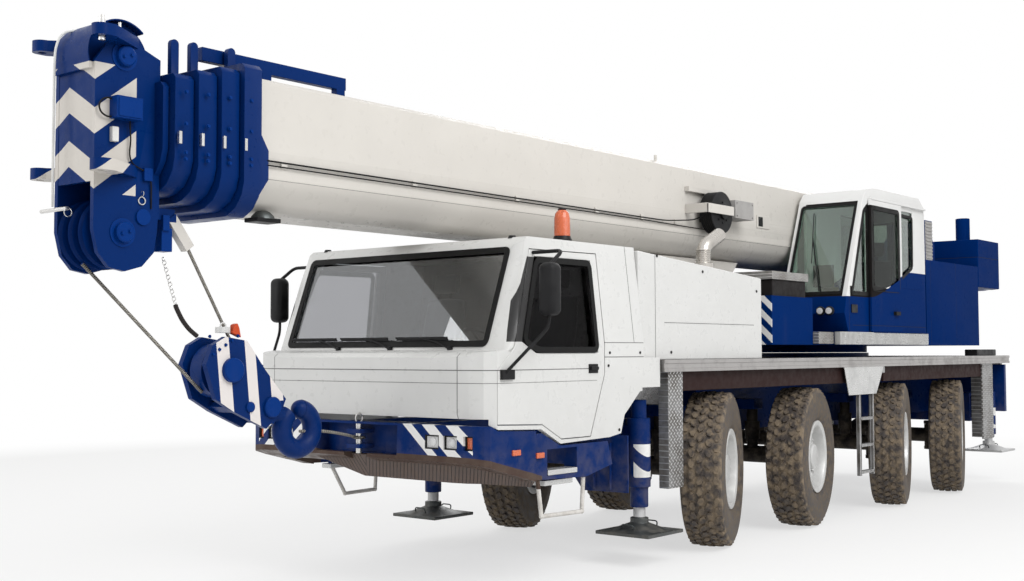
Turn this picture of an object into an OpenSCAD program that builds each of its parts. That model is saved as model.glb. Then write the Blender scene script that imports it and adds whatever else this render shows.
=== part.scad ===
// Four-axle telescopic mobile crane, ready to travel: boom lowered over the cab, hook block tied to the bumper.
// Millimetres. +X is forward, +Y is left and +Z is up; the origin lies on the ground below the machine's middle.

/* [Overall] */
// Reach of the boom head's lugs ahead of the last collar
head_reach = 559; // [540:1:580]
// Reach of the counterweight behind the boom foot pin
tail_reach = 1750; // [1700:10:1800]
// Width over the deck
carrier_w = 2550; // [2520:10:2600]
// Height of the deck above the ground
deck_z = 1660; // [1650:5:1670]

/* [Wheels and axles] */
// Tyre outer diameter
tyre_d = 1370; // [1340:5:1375]
// Tyre width
tyre_w = 375; // [360:5:385]
// Diameter on which the tyre sits on its rim
bead_d = 637; // [620:1:650]
// Distance between the left and right wheel centres
track = 2150; // [2130:5:2160]
// Axle spacing inside the front pair and inside the rear pair
axle_pitch = 1725; // [1700:5:1740]
// Axle spacing between the two pairs
axle_gap = 2180; // [2160:5:2200]
// Distance from a wheel's centre in to its kingpin
kingpin_inset = 200; // [190:5:210]
// Steering angle of the first axle
steer_1 = 21; // [0:1:25]
// Steering angle of the second axle
steer_2 = 12; // [0:1:15]
// Steering angle of both rear axles
steer_rear = 18; // [0:1:20]
// Axle tube diameter
axle_d = 170; // [150:5:180]
// Wheel spindle diameter
spindle_d = 120; // [110:2:130]

/* [Carrier] */
// Width of the box frame
frame_w = 780; // [740:10:790]
// Underside of the box frame above the ground
frame_z = 920; // [910:5:940]
// Thickness of the deck plate
deck_t = 40; // [30:2:50]
// Height of the bright strip along the deck's edge
edge_h = 100; // [90:5:110]
// Lower edge of the black mudguard skirts above the ground
skirt_z = 1395; // [1390:5:1420]
// Front of the deck ahead of the first axle
deck_front = 1050; // [1030:5:1060]
// Length of the deck behind the last axle
deck_l = 1750; // [1720:10:1780]
// Height of the engine hood's front edge above the ground
hood_z = 2545; // [2530:5:2555]
// Fall of the engine hood's top to its rear edge
hood_fall = 140; // [120:5:160]
// Rear of the engine hood behind the first axle
hood_rear = 750; // [700:10:760]

/* [Driver's cab] */
// Cab front ahead of the first axle
cab_front = 3250; // [3230:5:3270]
// Cab back panel ahead of the first axle
cab_back = 1310; // [1305:5:1330]
// Cab width at the belt line
cab_w = 2500; // [2480:5:2520]
// Cab width at the roof
roof_w = 2320; // [2300:5:2340]
// Height of the cab roof above the ground
roof_z = 2570; // [2560:5:2580]
// Wall thickness
wall_t = 55; // [45:5:60]
// Thickness of the window panes
pane_t = 12; // [8:1:14]

/* [Outriggers] */
// Left front jack ahead of the first axle
jack_front = 1090; // [1080:5:1100]
// Left rear jack ahead of the deck's rear end
jack_rear = 180; // [170:5:190]
// Distance of the jacks from the middle of the carrier
jack_y = 1050; // [1040:5:1060]
// Offset between the left and right beam
beam_offset = 230; // [225:5:240]
// Beam width
beam_w = 170; // [160:5:180]
// Beam height
beam_h = 280; // [260:5:290]
// Jack barrel diameter
jack_d = 190; // [180:5:195]
// Jack rod diameter
jack_rod_d = 100; // [90:5:110]
// Side of the square foot pads
pad_w = 520; // [480:10:540]
// Underside of the front pads above the ground
front_pad_z = 240; // [220:5:260]
// Underside of the rear pads above the ground
rear_pad_z = 400; // [380:5:420]

/* [Upper structure] */
// Slewing axis behind the first axle
slew_x = 4100; // [4080:5:4120]
// Underside of the upper structure above the ground
upper_z = 1790; // [1780:5:1800]
// Half the width of the space for the boom between the cheek plates
cheek_y = 428; // [426:1:432]
// Thickness of the cheek plates
cheek_t = 38; // [34:1:40]
// Boom foot pin behind the first axle
foot_x = 5900; // [5880:5:5920]
// Height of the boom foot pin above the ground
foot_z = 3100; // [3090:5:3110]
// Boom foot pin diameter
foot_d = 140; // [120:5:150]
// Underside of the counterweight above the ground
weight_z = 2540; // [2530:5:2550]
// Height of the counterweight
weight_h = 620; // [600:10:640]
// Width of the counterweight
weight_w = 2400; // [2360:10:2420]
// Length of the counterweight
weight_l = 1130; // [1110:10:1150]
// Front of the crane cab behind the first axle
crane_cab_x = 2500; // [2480:5:2510]
// Length of the crane cab
crane_cab_l = 2200; // [2180:5:2210]
// Outer side of the crane cab from the middle
crane_cab_y = 1215; // [1205:5:1220]
// Height of the crane cab's roof above the ground
crane_cab_z = 3500; // [3480:5:3520]

/* [Boom] */
// Width of the base section
boom_w = 840; // [830:2:844]
// Height of the base section's flat top above the ground
boom_z = 3530; // [3520:5:3540]
// Height of the base section
boom_h = 870; // [860:5:875]
// Plate thickness of the boom sections
boom_t = 11; // [10:0.5:12]
// Step in half width from one section to the next
boom_step = 34; // [33:0.5:36]
// Front of the base section's collar ahead of the first axle
collar_x = 4720; // [4710:5:4730]
// Distance from collar to collar along the boom
collar_pitch = 147; // [145:1:150]
// Width of the boom head
head_w = 432; // [420:4:440]
// Sheave axles ahead of the last collar
sheave_x = 270; // [260:5:280]
// Height of the lower sheave axle above the ground
sheave_z = 2460; // [2450:5:2470]
// Height of the upper sheave axle above the ground
top_sheave_z = 3540; // [3530:5:3550]
// Sheave diameter
sheave_d = 440; // [420:5:450]
// Diameter of the jib pin bores in the head's lugs
jib_bore_d = 50; // [40:1:55]

/* [Luffing cylinder] */
// Foot of the cylinder behind the first axle
ram_foot_x = 4600; // [4580:5:4620]
// Height of the cylinder's foot above the ground
ram_foot_z = 2130; // [2120:5:2140]
// Rod eye behind the first axle
ram_eye_x = 1500; // [1480:5:1520]
// Height of the rod eye above the ground
ram_eye_z = 2440; // [2430:5:2450]
// Barrel outer diameter
ram_d = 320; // [300:5:330]
// Rod diameter
ram_rod_d = 210; // [190:5:220]
// Pin diameter at both eyes
ram_pin_d = 110; // [100:5:120]

/* [Hook block] */
// Thickness of the hook block
block_w = 300; // [280:5:320]
// Tilt of the hook block from upright
block_tilt = 58.7; // [56:0.1:60]
// Thickness of the hook
hook_d = 140; // [130:2:144]
// Radius of the hook's bowl along its middle
hook_r = 140; // [134:2:150]
// Rope diameter
rope_d = 20; // [16:1:24]

/* [Hidden] */
$fn = 48;
collars_x = collar_x + 3 * collar_pitch;
head_x = collars_x + head_reach;
sheave_at = collars_x + sheave_x;
tail_x = foot_x + tail_reach;
axle_1_x = (tail_x - head_x) / 2;
fit = 0.05;
seat = 0.3;
far = 4000;
wheel_z = tyre_d / 2;
half_w = carrier_w / 2;
axle_xs = [0, -axle_pitch, -axle_pitch - axle_gap, -2 * axle_pitch - axle_gap];
steers = [steer_1, steer_2, steer_rear, steer_rear];
kingpin_y = track / 2 - kingpin_inset;
frame_top = deck_z - deck_t - 80;
rail_top = 1200;
rail_back = -900;
deck_back = axle_xs[3] - deck_l;
blue = [0.02, 0.12, 0.40];
white = [0.88, 0.88, 0.85];
cream = [0.90, 0.88, 0.80];
black = [0.06, 0.06, 0.07];
grey = [0.55, 0.56, 0.57];
alu = [0.75, 0.76, 0.77];
glass = [0.45, 0.60, 0.62];
rubber = [0.10, 0.09, 0.09];

// The model is drawn from the first axle and moved so that its middle is the origin.
module placed() {
    translate([axle_1_x, 0, 0]) children();
}

// A block between two corners.
module block(low, high) {
    translate(low) cube(high - low);
}

// An outline in X and Z, extruded between two values of Y.
module side_prism(points, y0, y1) {
    translate([0, y1, 0]) rotate([90, 0, 0]) linear_extrude(y1 - y0) polygon(points);
}

// An outline in Y and Z, extruded between two values of X.
module front_prism(points, x0, x1) {
    translate([x0, 0, 0]) rotate([90, 0, 90]) linear_extrude(x1 - x0) polygon(points);
}

// An outline in X and Y, extruded between two values of Z.
module plan_prism(points, z0, z1) {
    translate([0, 0, z0]) linear_extrude(z1 - z0) polygon(points);
}

// A round bar along Y.
module y_bar(x, z, d, y0, y1) {
    translate([x, y1, z]) rotate([90, 0, 0]) cylinder(d = d, h = y1 - y0);
}

// A round bar along Z.
module z_bar(x, y, d, z0, z1) {
    translate([x, y, z0]) cylinder(d = d, h = z1 - z0);
}

// A round bar between two points.
module bar(from, to, d) {
    run = to - from;
    translate(from) rotate([0, acos(run[2] / norm(run)), atan2(run[1], run[0])]) cylinder(d = d,
        h = norm(run));
}

module both_sides() {
    children();
    mirror([0, 1, 0]) children();
}

// Carrier frame: rear box, front rails, outrigger boxes, strut brackets and the slewing ring's seat.

box_z = frame_z - 120;
box_h = beam_h + 90;
beam_z = box_z + box_h / 2;
box_y = jack_y - jack_d / 2 - 25;

module outrigger_box(x_left, x_right) {
    block([min(x_left, x_right) - beam_w / 2 - 30, -box_y, box_z],
        [max(x_left, x_right) + beam_w / 2 + 30, box_y, box_z + box_h]);
}

module beam_channel(x) {
    block([x - beam_w / 2 - seat, -far, beam_z - beam_h / 2 - seat],
        [x + beam_w / 2 + seat, far, beam_z + beam_h / 2 + seat]);
}

front_beams = [jack_front, jack_front + beam_offset];
rear_beams = [deck_back + jack_rear, deck_back + jack_rear + beam_offset];

module chassis_frame() {
    placed() color(blue) difference() {
        union() {
            block([deck_back, -frame_w / 2, frame_z], [rail_back, frame_w / 2, frame_top]);
            both_sides() block([rail_back, frame_w / 2 - 110, frame_z],
                [cab_front - 260, frame_w / 2, rail_top]);
            block([cab_front - 380, -frame_w / 2, frame_z], [cab_front - 260, frame_w / 2, rail_top]);
            outrigger_box(front_beams[0], front_beams[1]);
            outrigger_box(rear_beams[0], rear_beams[1]);
            block([deck_back, -half_w + 40, frame_z], [rear_beams[0] - jack_d / 2 - 15, half_w - 40,
                frame_top]);
            for (x = axle_xs) both_sides()
                block([x - 90, frame_w / 2 - 60, rail_top - 60], [x + 90, 620, rail_top + 40]);
            z_bar(-slew_x, 0, 1400, frame_top, deck_z + 45);
        }
        for (x = concat(front_beams, rear_beams)) beam_channel(x);
    }
}

// Deck plate with its bright edge, cross members, ladders and steps.
module ladder() {
    for (x = [-2760, -3080]) block([x - 18, half_w - 60, 420], [x + 18, half_w - 20, deck_z - edge_h]);
    for (z = [440, 720, 1000, 1280]) block([-3080, half_w - 65, z], [-2760, half_w - 15, z + 30]);
    block([-3400, half_w - 60, deck_z - edge_h - 70], [-2700, half_w - 20, deck_z - edge_h]);
}

// Wire step from its upper front end over two corners to its upper rear end.
module wire_step(y, line) {
    d = 32;
    for (i = [0:2]) bar([line[i][0], y, line[i][1]], [line[i + 1][0], y, line[i + 1][1]], d);
    for (i = [1, 2]) translate([line[i][0], y, line[i][1]]) sphere(d = d + 4);
}

module deck() {
    placed() color(alu) {
        difference() {
            union() {
                block([deck_back, -half_w, deck_z - deck_t], [deck_front, half_w, deck_z]);
                both_sides() block([deck_back, half_w - 40, deck_z - edge_h], [deck_front, half_w, deck_z]);
                for (x = [deck_back + 60, -6300, -4900, -3200, -2300, -1000]) 
                    block([x - 40, -half_w + 80, frame_top], [x + 40, half_w - 80, deck_z - deck_t]);
            }
            block([20 - hood_rear, -1000, 0], [far, 1000, far]);
            z_bar(-slew_x, 0, 1410, 0, far);
        }
        both_sides() ladder();
    }
}

// Black skirts over the wheels, hung from the deck plate.
module mudguards() {
    placed() color(black) both_sides() {
        block([-2700, half_w - 75, skirt_z], [deck_front - 125, half_w - 45, deck_z - deck_t]);
        block([deck_back + 800, half_w - 75, skirt_z], [-3420, half_w - 45, deck_z - deck_t]);
    }
}

// Chequered corner plates before the first and behind the last wheel.
module side_plates() {
    placed() color(alu) both_sides() {
        block([725, half_w - 44, 600], [950, half_w - 24, deck_z - edge_h]);
        block([930, half_w - 120, 600], [950, half_w - 40, deck_z - edge_h]);
        block([deck_back + 580, half_w - 44, 600], [deck_back + 940, half_w - 24, deck_z - edge_h]);
        block([deck_back + 560, half_w - 300, 600], [deck_back + 580, half_w - 24, deck_z - edge_h]);
    }
}

// Rigid axles with differential housings, kingpin bosses and hydraulic struts.
boss_h = 260;
kingpin_d = 60;
strut_y = 550;

module axle(x) {
    difference() {
        union() {
            y_bar(x, wheel_z, axle_d, -kingpin_y, kingpin_y);
            translate([x, 0, wheel_z]) sphere(d = 400);
            both_sides() {
                z_bar(x, kingpin_y, 140, wheel_z - boss_h / 2, wheel_z + boss_h / 2);
                z_bar(x, strut_y, 110, wheel_z, rail_top - 60);
                z_bar(x, strut_y, 150, wheel_z + 150, wheel_z + 330);
            }
        }
        both_sides() {
            z_bar(x, kingpin_y, kingpin_d + 2 * fit, wheel_z + 65, far);
            z_bar(x, kingpin_y, kingpin_d + 2 * fit, -far, wheel_z - 65);
        }
    }
}

module axles() {
    placed() color(black) for (x = axle_xs) axle(x);
}

// Steering knuckles, drawn straight ahead about the kingpin and turned to the steering angle.
arm_t = 40;

module knuckle(i, side) {
    placed() color(black) translate([axle_xs[i], side * kingpin_y, wheel_z]) rotate([0, 0, steers[i]]) 
    mirror([0, side < 0 ? 1 : 0, 0]) {
        for (s = [0, 1]) mirror([0, 0, s]) {
            z_bar(0, 0, 150, boss_h / 2 + 5, boss_h / 2 + 5 + arm_t);
            z_bar(0, 0, kingpin_d, 75, boss_h / 2 + 25);
            block([-75, 0, boss_h / 2 + 5], [75, 125, boss_h / 2 + 5 + arm_t]);
        }
        block([-85, 85, -boss_h / 2 - 5 - arm_t], [85, 125, boss_h / 2 + 5 + arm_t]);
        y_bar(0, 0, spindle_d, 100, kingpin_inset + 88);
    }
}

module knuckle_1_left() knuckle(0, 1);
module knuckle_1_right() knuckle(0, -1);
module knuckle_2_left() knuckle(1, 1);
module knuckle_2_right() knuckle(1, -1);
module knuckle_3_left() knuckle(2, 1);
module knuckle_3_right() knuckle(2, -1);
module knuckle_4_left() knuckle(3, 1);
module knuckle_4_right() knuckle(3, -1);

// Tyre and rim of one wheel about its own axle; the outside of the wheel is at positive height.
bead_r = bead_d / 2;
bead_w = tyre_w * 0.8;

module tyre_ring() {
    r = tyre_d / 2;
    w = tyre_w / 2;
    half = [[bead_r + seat, bead_w / 2 - seat], [bead_r + 40, bead_w / 2 - seat],
        [bead_r + 75, w * 0.93], [r * 0.74, w],
        [r * 0.87, w * 0.99], [r - 32, w * 0.93], [r - 8, w * 0.82], [r, w * 0.68]];
    rotate_extrude() polygon(concat(half, [for (i = [len(half) - 1:-1:0]) [half[i][0], -half[i][1]]]));
}

module rim() {
    w = bead_w / 2;
    difference() {
        union() {
            rotate_extrude() polygon([[bead_r - 26, -w - 20], [bead_r + 36, -w - 20], [bead_r + 36, -w],
                [bead_r, -w],
                [bead_r, w], [bead_r + 36, w], [bead_r + 36, w + 20], [bead_r - 26, w + 20]]);
            translate([0, 0, 10]) cylinder(r = bead_r - 10, h = 26);
            translate([0, 0, -60]) cylinder(d = 300, h = 200);
            translate([0, 0, 20]) cylinder(d = 380, h = 60);
        }
        translate([0, 0, -far]) cylinder(d = spindle_d + 2 * fit, h = far + 92);
        for (a = [0:45:359]) rotate([0, 0, a + 22]) translate([bead_r - 80, 0, -far]) cylinder(d = 70,
            h = 2 * far);
    }
    for (a = [0:36:359]) rotate([0, 0, a]) translate([165, 0, 70]) cylinder(d = 26, h = 36);
}

module wheel(i, side) {
    placed() translate([axle_xs[i], side * kingpin_y, wheel_z]) rotate([0, 0, steers[i]]) 
    translate([0, side * kingpin_inset, 0]) rotate([-90 * side, 0, 0]) {
        color(rubber) tyre_ring();
        color(alu) rim();
    }
}

module wheel_1_left() wheel(0, 1);
module wheel_1_right() wheel(0, -1);
module wheel_2_left() wheel(1, 1);
module wheel_2_right() wheel(1, -1);
module wheel_3_left() wheel(2, 1);
module wheel_3_right() wheel(2, -1);
module wheel_4_left() wheel(3, 1);
module wheel_4_right() wheel(3, -1);

// Engine on the front rails, hood over it and the exhaust elbow on the hood.
module engine() {
    placed() color(grey) block([-350, 65 - frame_w / 2, rail_top],
        [950, frame_w / 2 - 65, rail_top + 1000]);
}

hood_side = half_w - 75;
hood_slope = hood_fall / (cab_back + hood_rear);

module hood_form(t) {
    front_x = cab_back - 6 - t;
    back_x = t - hood_rear;
    z = hood_z - 1.02 * t;
    side_prism([[back_x, deck_z], [front_x, deck_z], [front_x, z],
        [back_x, z - hood_slope * (front_x - back_x)]],
        t - hood_side, hood_side - t);
}

module engine_hood() {
    placed() color(white) difference() {
        hood_form(0);
        hood_form(wall_t);
        block([-far, -hood_side + wall_t, 0], [cab_back - 6 - wall_t, hood_side - wall_t, deck_z + 20]);
    }
}

exhaust_x = -80;
exhaust_y = 980;
exhaust_d = 130;

module exhaust() {
    z = hood_z - hood_slope * (cab_back - exhaust_x) + 20;
    placed() color(alu) {
        z_bar(exhaust_x, exhaust_y, exhaust_d + 60, z, z + 60);
        z_bar(exhaust_x, exhaust_y, exhaust_d, z, z + 200);
        translate([exhaust_x, exhaust_y, z + 200]) sphere(d = exhaust_d);
        bar([exhaust_x, exhaust_y, z + 200], [exhaust_x - 290, exhaust_y, z + 330], exhaust_d);
    }
}

// Driver's cab: the side outline is cut by the front outline and by the plan with its rounded corners.
glass_foot = [cab_front - 210, 1745];
glass_head = [cab_front - 495, roof_z - 60];
belt_z = 1800;

glass_lean = (glass_head[0] - glass_foot[0]) / (glass_head[1] - glass_foot[1]);
function glass_x(z) = glass_foot[0] + (z - glass_foot[1]) * glass_lean;

module cab_front_view(t, x0, x1) {
    w = cab_w / 2 - t;
    r = roof_w / 2 - t;
    front_prism([[-w, 0], [-w, belt_z], [-r, roof_z - t], [r, roof_z - t], [w, belt_z], [w, 0]], x0, x1);
}

module cab_plan(t) {
    w = cab_w / 2 - t;
    f = cab_front - t;
    half = [[0, w + 70], [f - 185, w + 70], [f - 55, w - 70], [f - 15, w - 180], [f, w - 330]];
    plan_prism(concat(half, [for (i = [len(half) - 1:-1:0]) [half[i][0], -half[i][1]]]), 0, far);
}

module cab_hollow() {
    t = wall_t;
    intersection() {
        side_prism([[cab_front - t, 1330], [cab_front - t, 1650], [glass_foot[0] - t, 1690],
            [glass_head[0] - t, roof_z - 110],
            [glass_head[0] - 110, roof_z - t], [cab_back + t, roof_z - t], [cab_back + t, 1330]], -far,
                far);
        cab_front_view(t, 0, far);
        cab_plan(t);
    }
}

door_front = cab_front - 125;
door_line = [[door_front, 1225], [door_front, 1600], [glass_x(1760) - 95, 1760],
    [glass_x(roof_z - 95) - 95, roof_z - 95],
    [1850, roof_z - 85], [1850, 1560], [2040, 1090], [2400, 1090], [2630, 1205]];
door_window = [[glass_x(1800) - 165, 1800], [glass_x(roof_z - 145) - 165, roof_z - 145],
    [1930, roof_z - 140], [1930, 1720],
    [door_front - 430, 1720]];

// Wedge that bevels the corner beside the windscreen.
module pillar_bevel() {
    lean = atan2(glass_foot[0] - glass_head[0], glass_head[1] - glass_foot[1]);
    translate([glass_foot[0], 0, glass_foot[1]]) rotate([0, -lean, 0]) linear_extrude(1200)
        polygon([[-145, cab_w / 2 + 60], [-90, cab_w / 2], [-35, cab_w / 2 - 60], [0, cab_w / 2 - 160],
            [35, cab_w / 2 - 260],
            [200, cab_w / 2 + 60]]);
}

module cab_shell() {
    placed() color(white) difference() {
        intersection() {
            side_prism([[cab_front - 20, 1262], [cab_front, 1310], [cab_front, 1690],
                [cab_front - 45, 1725], glass_foot, glass_head,
                [glass_head[0] - 75, roof_z], [cab_back, roof_z], [cab_back, 1680], [1070, 1680],
                    [1070, 1440], [1330, 1440],
                [1500, 1300], [1790, 1070], [2410, 1055], [2640, 1170], [door_front, 1190]], -far, far);
            cab_front_view(0, 0, far);
            cab_plan(0);
        }
        cab_hollow();
        block([0, 45 - cab_w / 2, 0], [far, cab_w / 2 - 45, 1262]);
        block([0, 40 - cab_w / 2, 0], [cab_back + 2, cab_w / 2 - 40, 1720]);
        for (s = [0, 1]) mirror([0, s, 0]) side_prism([for (p = door_line) 
            [p[0] + (p[0] > 2630 ? 6 : p[0] < 2100 ? -6 : 0),
                p[1] + (p[1] > 2000 ? 6 : p[1] < 1300 ? -6 : 0)]], 
            min(roof_w, cab_w) / 2 - wall_t - 40, far);
        side_prism([[far, belt_z - 5], [glass_x(belt_z) - 250, belt_z - 5], [glass_head[0] - 200,
            roof_z - 100],
            [far, roof_z - 100]], -roof_w / 2 + 110, roof_w / 2 - 110);
        both_sides() pillar_bevel();
    }
}

module cab_glass() {
    z0 = belt_z - 5 + seat;
    z1 = roof_z - 100 - seat;
    placed() color(glass) side_prism([[glass_x(z0) - 12, z0], [glass_x(z1) - 12, z1],
        [glass_x(z1) - 12 - pane_t, z1],
        [glass_x(z0) - 12 - pane_t, z0]], -roof_w / 2 + 110 + seat, roof_w / 2 - 110 - seat);
}

// Seats, dashboard and steering wheel stand on the cab floor.
driver_y = cab_w / 2 - 650;

module seat_form(x, y, z) {
    block([x - 250, y - 250, z], [x + 250, y + 250, z + 330]);
    translate([x - 210, y, z + 320]) rotate([0, -10, 0]) translate([-60, -240, 0]) cube([120, 480, 620]);
}

module cab_interior() {
    placed() color(black) {
        for (y = [-driver_y, driver_y]) seat_form(1900, y, 1330);
        block([2700, 200 - cab_w / 2, 1330], [3000, cab_w / 2 - 200, 1640]);
        bar([2720, driver_y, 1560], [2520, driver_y, 1760], 50);
        translate([2520, driver_y, 1760]) rotate([0, -45, 0]) rotate_extrude() translate(
            [200, 0]) circle(d = 36);
        translate([2520, driver_y, 1760]) rotate([0, -45, 0]) translate([-12, -205, -12]) cube(
            [24, 410, 24]);
    }
}

// Doors hang on their front edge and carry the mirrors.
module door(side) {
    color(white) mirror([0, side < 0 ? 1 : 0, 0]) difference() {
        intersection() {
            side_prism(door_line, 0, far);
            cab_front_view(0, 0, far);
        }
        cab_front_view(wall_t, -far, far);
        side_prism(door_window, 0, far);
    }
}

module door_pane(side) {
    inner = wall_t / 2;
    color(glass) mirror([0, side < 0 ? 1 : 0, 0]) intersection() {
        side_prism([for (p = door_window) [p[0] + (p[0] > 2300 ? -seat : seat),
            p[1] + (p[1] > 2000 ? -seat : seat)]], 0, far);
        difference() {
            cab_front_view(inner, 0, far);
            cab_front_view(inner + pane_t, -far, far);
        }
    }
}

function door_y(z) = cab_w / 2 - (z - belt_z) * (cab_w - roof_w) / 2 / (roof_z - belt_z);

module mirror_form(side) {
    y = cab_w / 2 + 200;
    z = roof_z - 118;
    color(black) mirror([0, side < 0 ? 1 : 0, 0]) {
        block([2725, y - 65, 1980], [2865, y + 75, 2360]);
        bar([2795, y, 1985], [door_front - 70, cab_w / 2 + 20, 1570], 36);
        block([door_front - 110, cab_w / 2 + seat, 1535], [door_front - 30, cab_w / 2 + 24, 1605]);
        bar([2795, y, 2340], [2640, y, z], 30);
        y_bar(2640, z, 34, door_y(z) + 2.3, y + 22);
    }
}

module door_left() placed() door(1);
module door_right() placed() door(-1);
module door_glass_left() placed() door_pane(1);
module door_glass_right() placed() door_pane(-1);
module mirror_left() placed() mirror_form(1);
module mirror_right() placed() mirror_form(-1);

// Bumper: light pods, towing jaw with its pin, side steps and a ribbed pan below.
bumper_top = 1245;
tow_bore_d = 52;
step_y = cab_w / 2 - 35;
lamp_edges = [for (y = [545, 410, 370, 240, 185, 110]) cab_w / 2 - y];
lamp_low = 1046;
lamp_top = 1146;

module bumper() {
    placed() color(blue) {
        difference() {
            union() {
                intersection() {
                    side_prism([[2700, bumper_top - 85], [door_front, bumper_top - 65],
                        [cab_front - 60, bumper_top - 30],
                        [cab_front + 30, bumper_top - 30], [cab_front + 40, 960], [cab_front - 150, 900],
                            [2700, 800]], -cab_w / 2, cab_w / 2);
                    cab_plan(-40);
                }
                both_sides() side_prism([[2750, 1140], [2620, 1140], [2400, 1040], [1800, 1040],
                    [1740, 860],
                    [2080, 790], [2750, 810]], cab_w / 2 - 180, cab_w / 2 - 10);
            }
            block([1500, -cab_w / 2 + 130, 700], [cab_front - 190, cab_w / 2 - 130, far]);
            block([cab_front - 90, 820 - cab_w / 2, 985], [far, cab_w / 2 - 820, bumper_top - 45]);
            both_sides() block([2200, cab_w / 2 - 130, 830], [2560, far, 1020]);
            both_sides() for (i = [0, 2, 4])
                block([cab_front - 30, lamp_edges[i], lamp_low], [far, lamp_edges[i + 1], lamp_top]);
            block([cab_front - 75, -120, 0], [far, 120, 1000]);
        }
        for (z = [1020, 1130]) difference() {
            block([cab_front - 95, -70, z], [cab_front + 60, 70, z + 30]);
            z_bar(cab_front, 0, tow_bore_d, 0, far);
        }
        wire_step(step_y, [[2660, 900], [2600, 540], [2110, 530], [2080, 900]]);
        wire_step(-step_y + 95, [[2581, 900], [2347, 525], [1990, 530], [1965, 900]]);
    }
}

// Head lamps, turn signals, side markers, tail lamps and the beacon.
module lamps() {
    placed() {
        color(alu) both_sides() for (i = [0, 2, 4])
            block([cab_front - 30 + seat, lamp_edges[i] + seat, lamp_low + seat],
                [cab_front + 26 - 6 * i, lamp_edges[i + 1] - seat, lamp_top - seat]);
        color([0.9, 0.35, 0.1]) {
            z_bar(1980, roof_w / 2 - 215, 150, roof_z, roof_z + 60);
            z_bar(1980, roof_w / 2 - 215, 120, roof_z + 60, roof_z + 270);
        }
        color([0.7, 0.05, 0.05]) both_sides() block([deck_back - 30, 900, 1240], [deck_back, 1180, 1360]);
    }
}

// Outrigger beams with their jack barrels, and the legs with foot pads.
module beam(x, side) {
    color(blue) mirror([0, side < 0 ? 1 : 0, 0]) difference() {
        union() {
            block([x - beam_w / 2, -box_y + 60, beam_z - beam_h / 2],
                [x + beam_w / 2, jack_y, beam_z + beam_h / 2]);
            z_bar(x, jack_y, jack_d, 620, 1180);
            z_bar(x, jack_y, 130, 1180, 1330);
        }
        z_bar(x, jack_y, jack_rod_d + 2 * fit, 0, 1300);
    }
}

module leg(x, side, z) {
    color(grey) mirror([0, side < 0 ? 1 : 0, 0]) {
        z_bar(x, jack_y, jack_rod_d, z + 60, 1285);
        block([x - pad_w / 2, jack_y - pad_w / 2, z], [x + pad_w / 2, jack_y + pad_w / 2, z + 28]);
        translate([x, jack_y, z + 28]) cylinder(d1 = pad_w * 0.9, d2 = 150, h = 60);
        z_bar(x, jack_y, 150, z + 80, z + 130);
    }
}

module beam_front_left() placed() beam(front_beams[0], 1);
module beam_front_right() placed() beam(front_beams[1], -1);
module beam_rear_left() placed() beam(rear_beams[0], 1);
module beam_rear_right() placed() beam(rear_beams[1], -1);
module leg_front_left() placed() leg(front_beams[0], 1, front_pad_z);
module leg_front_right() placed() leg(front_beams[1], -1, front_pad_z);
module leg_rear_left() placed() leg(rear_beams[0], 1, rear_pad_z);
module leg_rear_right() placed() leg(rear_beams[1], -1, rear_pad_z);

// Slewing upper structure: ring, floor, cheek plates, side boxes and the rear arm under the counterweight.
floor_z = upper_z + 170;
arm_back = tail_x - 450;
weight_front = tail_x - weight_l;
upper_back = weight_front - 20;
side_in = cheek_y + cheek_t;

module turntable() {
    placed() color(blue) difference() {
        union() {
            z_bar(-slew_x, 0, 1360, deck_z + 50, upper_z);
            block([-upper_back, -side_in, upper_z], [-2300, side_in, floor_z]);
            for (s = [0, 1]) mirror([0, s, 0]) side_prism([[-upper_back, upper_z], [-upper_back, 2500],
                [-foot_x - 350, foot_z + 100], [-foot_x - 150, foot_z + 230], [-foot_x + 150, foot_z + 230],
                [-foot_x + 300, foot_z + 130], [-4300, 2400], [-2300, floor_z], [-2300, upper_z]],
                    cheek_y, side_in);
            block([-arm_back, -side_in, 2200], [40 - upper_back, side_in, weight_z]);
            block([-1920, 450, upper_z], [-1060, 1140, 2260]);
            block([-2400, -1000, upper_z], [-1900, 1000, floor_z - 30]);
            block([-4760, side_in - 1, upper_z], [-2350, 1200, upper_z + 60]);
            side_prism([[-upper_back, upper_z], [-4760, upper_z], [-4760, 2800], [-upper_back, 2800]],
                side_in - 1, 1200);
            block([-5000, 720, 2780], [-4775, 1190, 3270]);
            side_prism([[-4990, 2780], [-4990, 3240], [-5080, 3240], [-5300, 3010], [-5300, 2780]],
                760, 1100);
            side_prism([[-upper_back, upper_z], [-1400, upper_z], [-1400, 2240], [-3300, 2650],
                [-upper_back, 2650]],
                -1200, 1 - side_in);
        }
        y_bar(-foot_x, foot_z, foot_d + 2 * fit, -far, far);
        both_sides() y_bar(-ram_foot_x, ram_foot_z, ram_pin_d + 2 * fit, cheek_y, side_in);
    }
}

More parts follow.
